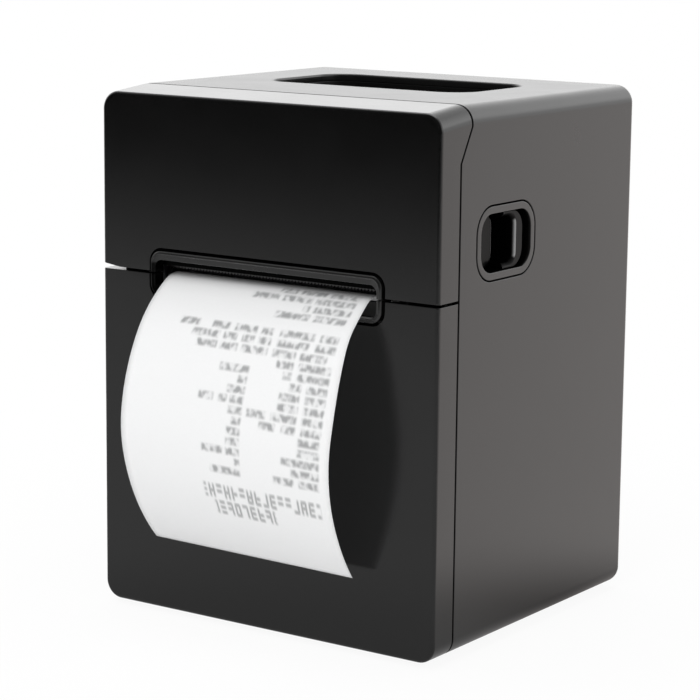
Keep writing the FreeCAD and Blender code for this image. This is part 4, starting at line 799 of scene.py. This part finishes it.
def roundedShell(node):
    width, steps = shells[node]
    work = mergedMesh(node)
    work.edges.index_update()
    shares = roundShares(work, width * mm)
    mesh = bpy.data.meshes.new(node + "_shell")
    work.to_mesh(mesh)
    work.free()
    weights = mesh.attributes.new("bevel_weight_edge", "FLOAT", "EDGE")
    for index, share in shares.items():
        weights.data[index].value = share
    piece = bpy.data.objects.new(node + "_shell", mesh)
    bpy.context.scene.collection.objects.link(piece)
    rounding = piece.modifiers.new("round", "BEVEL")
    rounding.width = width * mm
    rounding.segments = steps
    rounding.limit_method = "WEIGHT"
    rounding.use_clamp_overlap = False
    rounding.loop_slide = False
    rounding.miter_outer = "MITER_SHARP"
    bpy.context.view_layer.update()
    bake(piece)
    work = bmesh.new()
    work.from_mesh(piece.data)
    retile(work)
    for face in work.faces:
        face.smooth = True
    work.to_mesh(piece.data)
    work.free()
    smoothing = piece.modifiers.new("normals", "WEIGHTED_NORMAL")
    smoothing.keep_sharp = True
    bpy.context.view_layer.update()
    bake(piece)
    piece.data.materials.clear()
    piece.data.materials.append(finishes[nodeSlot[node]])
    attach(piece, nodeBody[node])
    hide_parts(node)
    return piece


# springs, each with the joint it would give way with: its name, the way they shorten, the end that stays and
# the share left; here each is only given a mesh of its own
springs = {
    "lever_spring": ("lever_slide", (0, 1, 0), (0, 0.0103, 0), 0.62),
    "head_springs": ("head_tilt", (0, 0, 1), (0, 0, 0.1209), 0.70),
}

for node in shells:
    piece = roundedShell(node)
    if node in springs:
        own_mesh(piece)
print("shells dressed")


# bars that repeat: the contacts in the sockets, and dark crosses on the screw heads as painted shade for
# their cross recesses, places and sizes in mm
bars = {
    "socket_contacts": {
        "body": "housing",
        "slot": "bright_steel",
        "rows": (
            {"Count": 8, "First": (9.93, 62.0, 26.05), "Pitch": (1.02, 0, 0), "Size": (0.45, 0.5, 3.0)},
            {"Count": 6, "First": (28.45, 62.0, 25.95), "Pitch": (1.02, 0, 0), "Size": (0.45, 0.5, 3.0)},
            {"Count": 2, "First": (-5.25, 62.5, 24.6), "Pitch": (2.5, 0, 0), "Size": (1.0, 5.0, 0.2)},
            {"Count": 2, "First": (-5.25, 62.5, 21.4), "Pitch": (2.5, 0, 0), "Size": (1.0, 5.0, 0.2)},
        ),
    },
    # dark crosses laid on the screw heads: painted shade standing in for their cross recesses
    "screw_cross_shades": {
        "body": "housing",
        "slot": "socket_black",
        "rows": (
            {"Count": 2, "First": (-50.0, 42.5, 0.7), "Pitch": (100.0, 0, 0), "Size": (3.0, 0.6, 0.06)},
            {"Count": 2, "First": (-50.0, 42.5, 0.7), "Pitch": (100.0, 0, 0), "Size": (0.6, 3.0, 0.06)},
            {"Count": 2, "First": (-55.5, 7.25, 96.5), "Pitch": (111.0, 0, 0), "Size": (3.0, 0.6, 0.06)},
            {"Count": 2, "First": (-55.5, 7.25, 96.5), "Pitch": (111.0, 0, 0), "Size": (0.6, 3.0, 0.06)},
        ),
    },
}
barInputs = {"Count": "NodeSocketInt", "First": "NodeSocketVector", "Pitch": "NodeSocketVector",
             "Size": "NodeSocketVector", "Finish": "NodeSocketMaterial"}


def barTree():
    tree = bpy.data.node_groups.new("row_of_bars", "GeometryNodeTree")
    tree.interface.new_socket("Geometry", in_out="INPUT", socket_type="NodeSocketGeometry")
    for name, kind in barInputs.items():
        tree.interface.new_socket(name, in_out="INPUT", socket_type=kind)
    tree.interface.new_socket("Geometry", in_out="OUTPUT", socket_type="NodeSocketGeometry")
    given = Wire.make(tree, "NodeGroupInput")
    points = Wire.make(tree, "GeometryNodeMeshLine", {"mode": "OFFSET"}, {
        "Count": given.out("Count"), "Start Location": given.out("First"), "Offset": given.out("Pitch")})
    bar = Wire.make(tree, "GeometryNodeMeshCube", {}, {"Size": given.out("Size")})
    row = Wire.make(tree, "GeometryNodeInstanceOnPoints", {}, {"Points": points, "Instance": bar})
    row = Wire.make(tree, "GeometryNodeRealizeInstances", {}, {"Geometry": row})
    row = Wire.make(tree, "GeometryNodeSetMaterial", {}, {"Geometry": row, "Material": given.out("Finish")})
    both = Wire.make(tree, "GeometryNodeJoinGeometry")
    for part in (given.out("Geometry"), row):
        tree.links.new(part.socket, both.socket.node.inputs[0])
    Wire.make(tree, "NodeGroupOutput", {}, {"Geometry": both})
    return tree


def layBars(tree):
    keys = {item.name: item.identifier for item in tree.interface.items_tree if item.in_out == "INPUT"}
    for name, look in bars.items():
        piece = bpy.data.objects.new(name, bpy.data.meshes.new(name))
        bpy.context.scene.collection.objects.link(piece)
        for number, row in enumerate(look["rows"]):
            modifier = piece.modifiers.new(f"row_{number}", "NODES")
            modifier.node_group = tree
            for key, value in row.items():
                modifier[keys[key]] = value if key == "Count" else [part * mm for part in value]
            modifier[keys["Finish"]] = finishes[look["slot"]]
        bpy.context.view_layer.update()
        bake(piece)
        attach(piece, look["body"])


layBars(barTree())
print("bars laid")

# the strip: how far it has turned down from level, in degrees, by mm past the front face at each edge
sheetLook = {
    "width": 79.5,
    "thick": 0.12,
    "inside": 16.5,  # mm from the front face in to the nip
    "lift": -25.3,  # degrees, as it leaves the nip
    "bendFrom": -10.2,  # mm
    "left": ((-5, 10), (0, 34), (8, 43), (22, 61), (45, 81), (60, 102), (75, 115), (97, 133)),
    "right": ((-6, 4), (-4, 10), (0, 41), (9, 46), (18, 68), (32, 75), (45, 78), (55, 91), (70, 108),
              (94, 127)),
    "start": (-48.5, 112.9),  # y and z in mm at the front face
    "step": 0.5,
    "rows": 120,
    "columns": 32,
    "uvLength": 120.0,  # mm
    "flattened": 0.05,  # share of its bulge to keep when the door opens; here the strip only rides with the door
    "throughGlow": 0.14,  # painted glow on its back, standing in for light that comes through the paper
}


def headingAt(stops, s):
    stops = ((sheetLook["bendFrom"], sheetLook["lift"]),) + stops
    if s <= stops[0][0]:
        return math.radians(stops[0][1])
    for (s0, turn0), (s1, turn1) in zip(stops, stops[1:]):
        if s <= s1:
            return math.radians(turn0 + (turn1 - turn0) * (s - s0) / (s1 - s0))
    return math.radians(stops[-1][1])


def walkEdge(stops, way, length):
    # points (s, y, z, turn) in mm from the front face, outwards for way 1 and inwards for way -1
    step = sheetLook["step"]
    y, z = sheetLook["start"]
    points = []
    for number in range(int(length / step)):
        turn = headingAt(stops, way * (number + 0.5) * step)
        y -= way * math.cos(turn) * step
        z -= way * math.sin(turn) * step
        s = way * (number + 1) * step
        points.append((s, y, z, headingAt(stops, s)))
    return points


def edgeLine(stops):
    start = (0.0, *sheetLook["start"], headingAt(stops, 0.0))
    return walkEdge(stops, -1, sheetLook["inside"])[::-1] + [start] + walkEdge(stops, 1, stops[-1][0])


def alongLine(line, share):
    place = share * (len(line) - 1)
    index = min(int(place), len(line) - 2)
    part = place - index
    return [a + (b - a) * part for a, b in zip(line[index], line[index + 1])]


def receiptSheet():
    left, right = edgeLine(sheetLook["left"]), edgeLine(sheetLook["right"])
    rows, columns = sheetLook["rows"], sheetLook["columns"]
    faces, flats = [], []
    layers = {1: [], -1: []}
    for row in range(rows + 1):
        ends = [alongLine(line, row / rows) for line in (left, right)]
        for column in range(columns + 1):
            u = column / columns
            s, y, z, turn = [a + (b - a) * u for a, b in zip(*ends)]
            x = (u - 0.5) * sheetLook["width"]
            flats.append((u, (s + sheetLook["inside"]) / sheetLook["uvLength"]))
            for side in layers:
                out = side * sheetLook["thick"] / 2
                outY, outZ = y - math.sin(turn) * out, z + math.cos(turn) * out
                layers[side].append((x * mm, outY * mm, outZ * mm))
    count = len(flats)
    wide = columns + 1
    for row in range(rows):
        for column in range(columns):
            a = row * wide + column
            faces.append((a, a + wide, a + wide + 1, a + 1))
            faces.append((count + a, count + a + 1, count + a + wide + 1, count + a + wide))
    rim = list(range(wide)) + [row * wide + columns for row in range(1, rows + 1)]
    rim += [rows * wide + column for column in range(columns - 1, -1, -1)]
    rim += [row * wide for row in range(rows - 1, 0, -1)]
    for a, b in zip(rim, rim[1:] + rim[:1]):
        faces.append((a, b, count + b, count + a))
    mesh = bpy.data.meshes.new("receipt_sheet")
    mesh.from_pydata(layers[1] + layers[-1], [], faces)
    layer = mesh.uv_layers.new(name="sheet")
    for loop in mesh.loops:
        layer.data[loop.index].uv = flats[loop.vertex_index % count]
    for face in mesh.polygons:
        face.use_smooth = True
        face.material_index = 0 if face.index < 2 * rows * columns and face.index % 2 == 0 else 1
    mesh.materials.append(printedPaper())
    mesh.materials.append(plainPaper("receipt_back_finish", sheetLook["throughGlow"]))
    sheet = bpy.data.objects.new("receipt_sheet", mesh)
    bpy.context.scene.collection.objects.link(sheet)
    length = (left[-1][0] + right[-1][0]) / 2 + sheetLook["inside"]
    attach(sheet, "door")
    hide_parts("receipt")
    length * mm
    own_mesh(sheet)
    return sheet


receiptSheet()
print("strip hung")
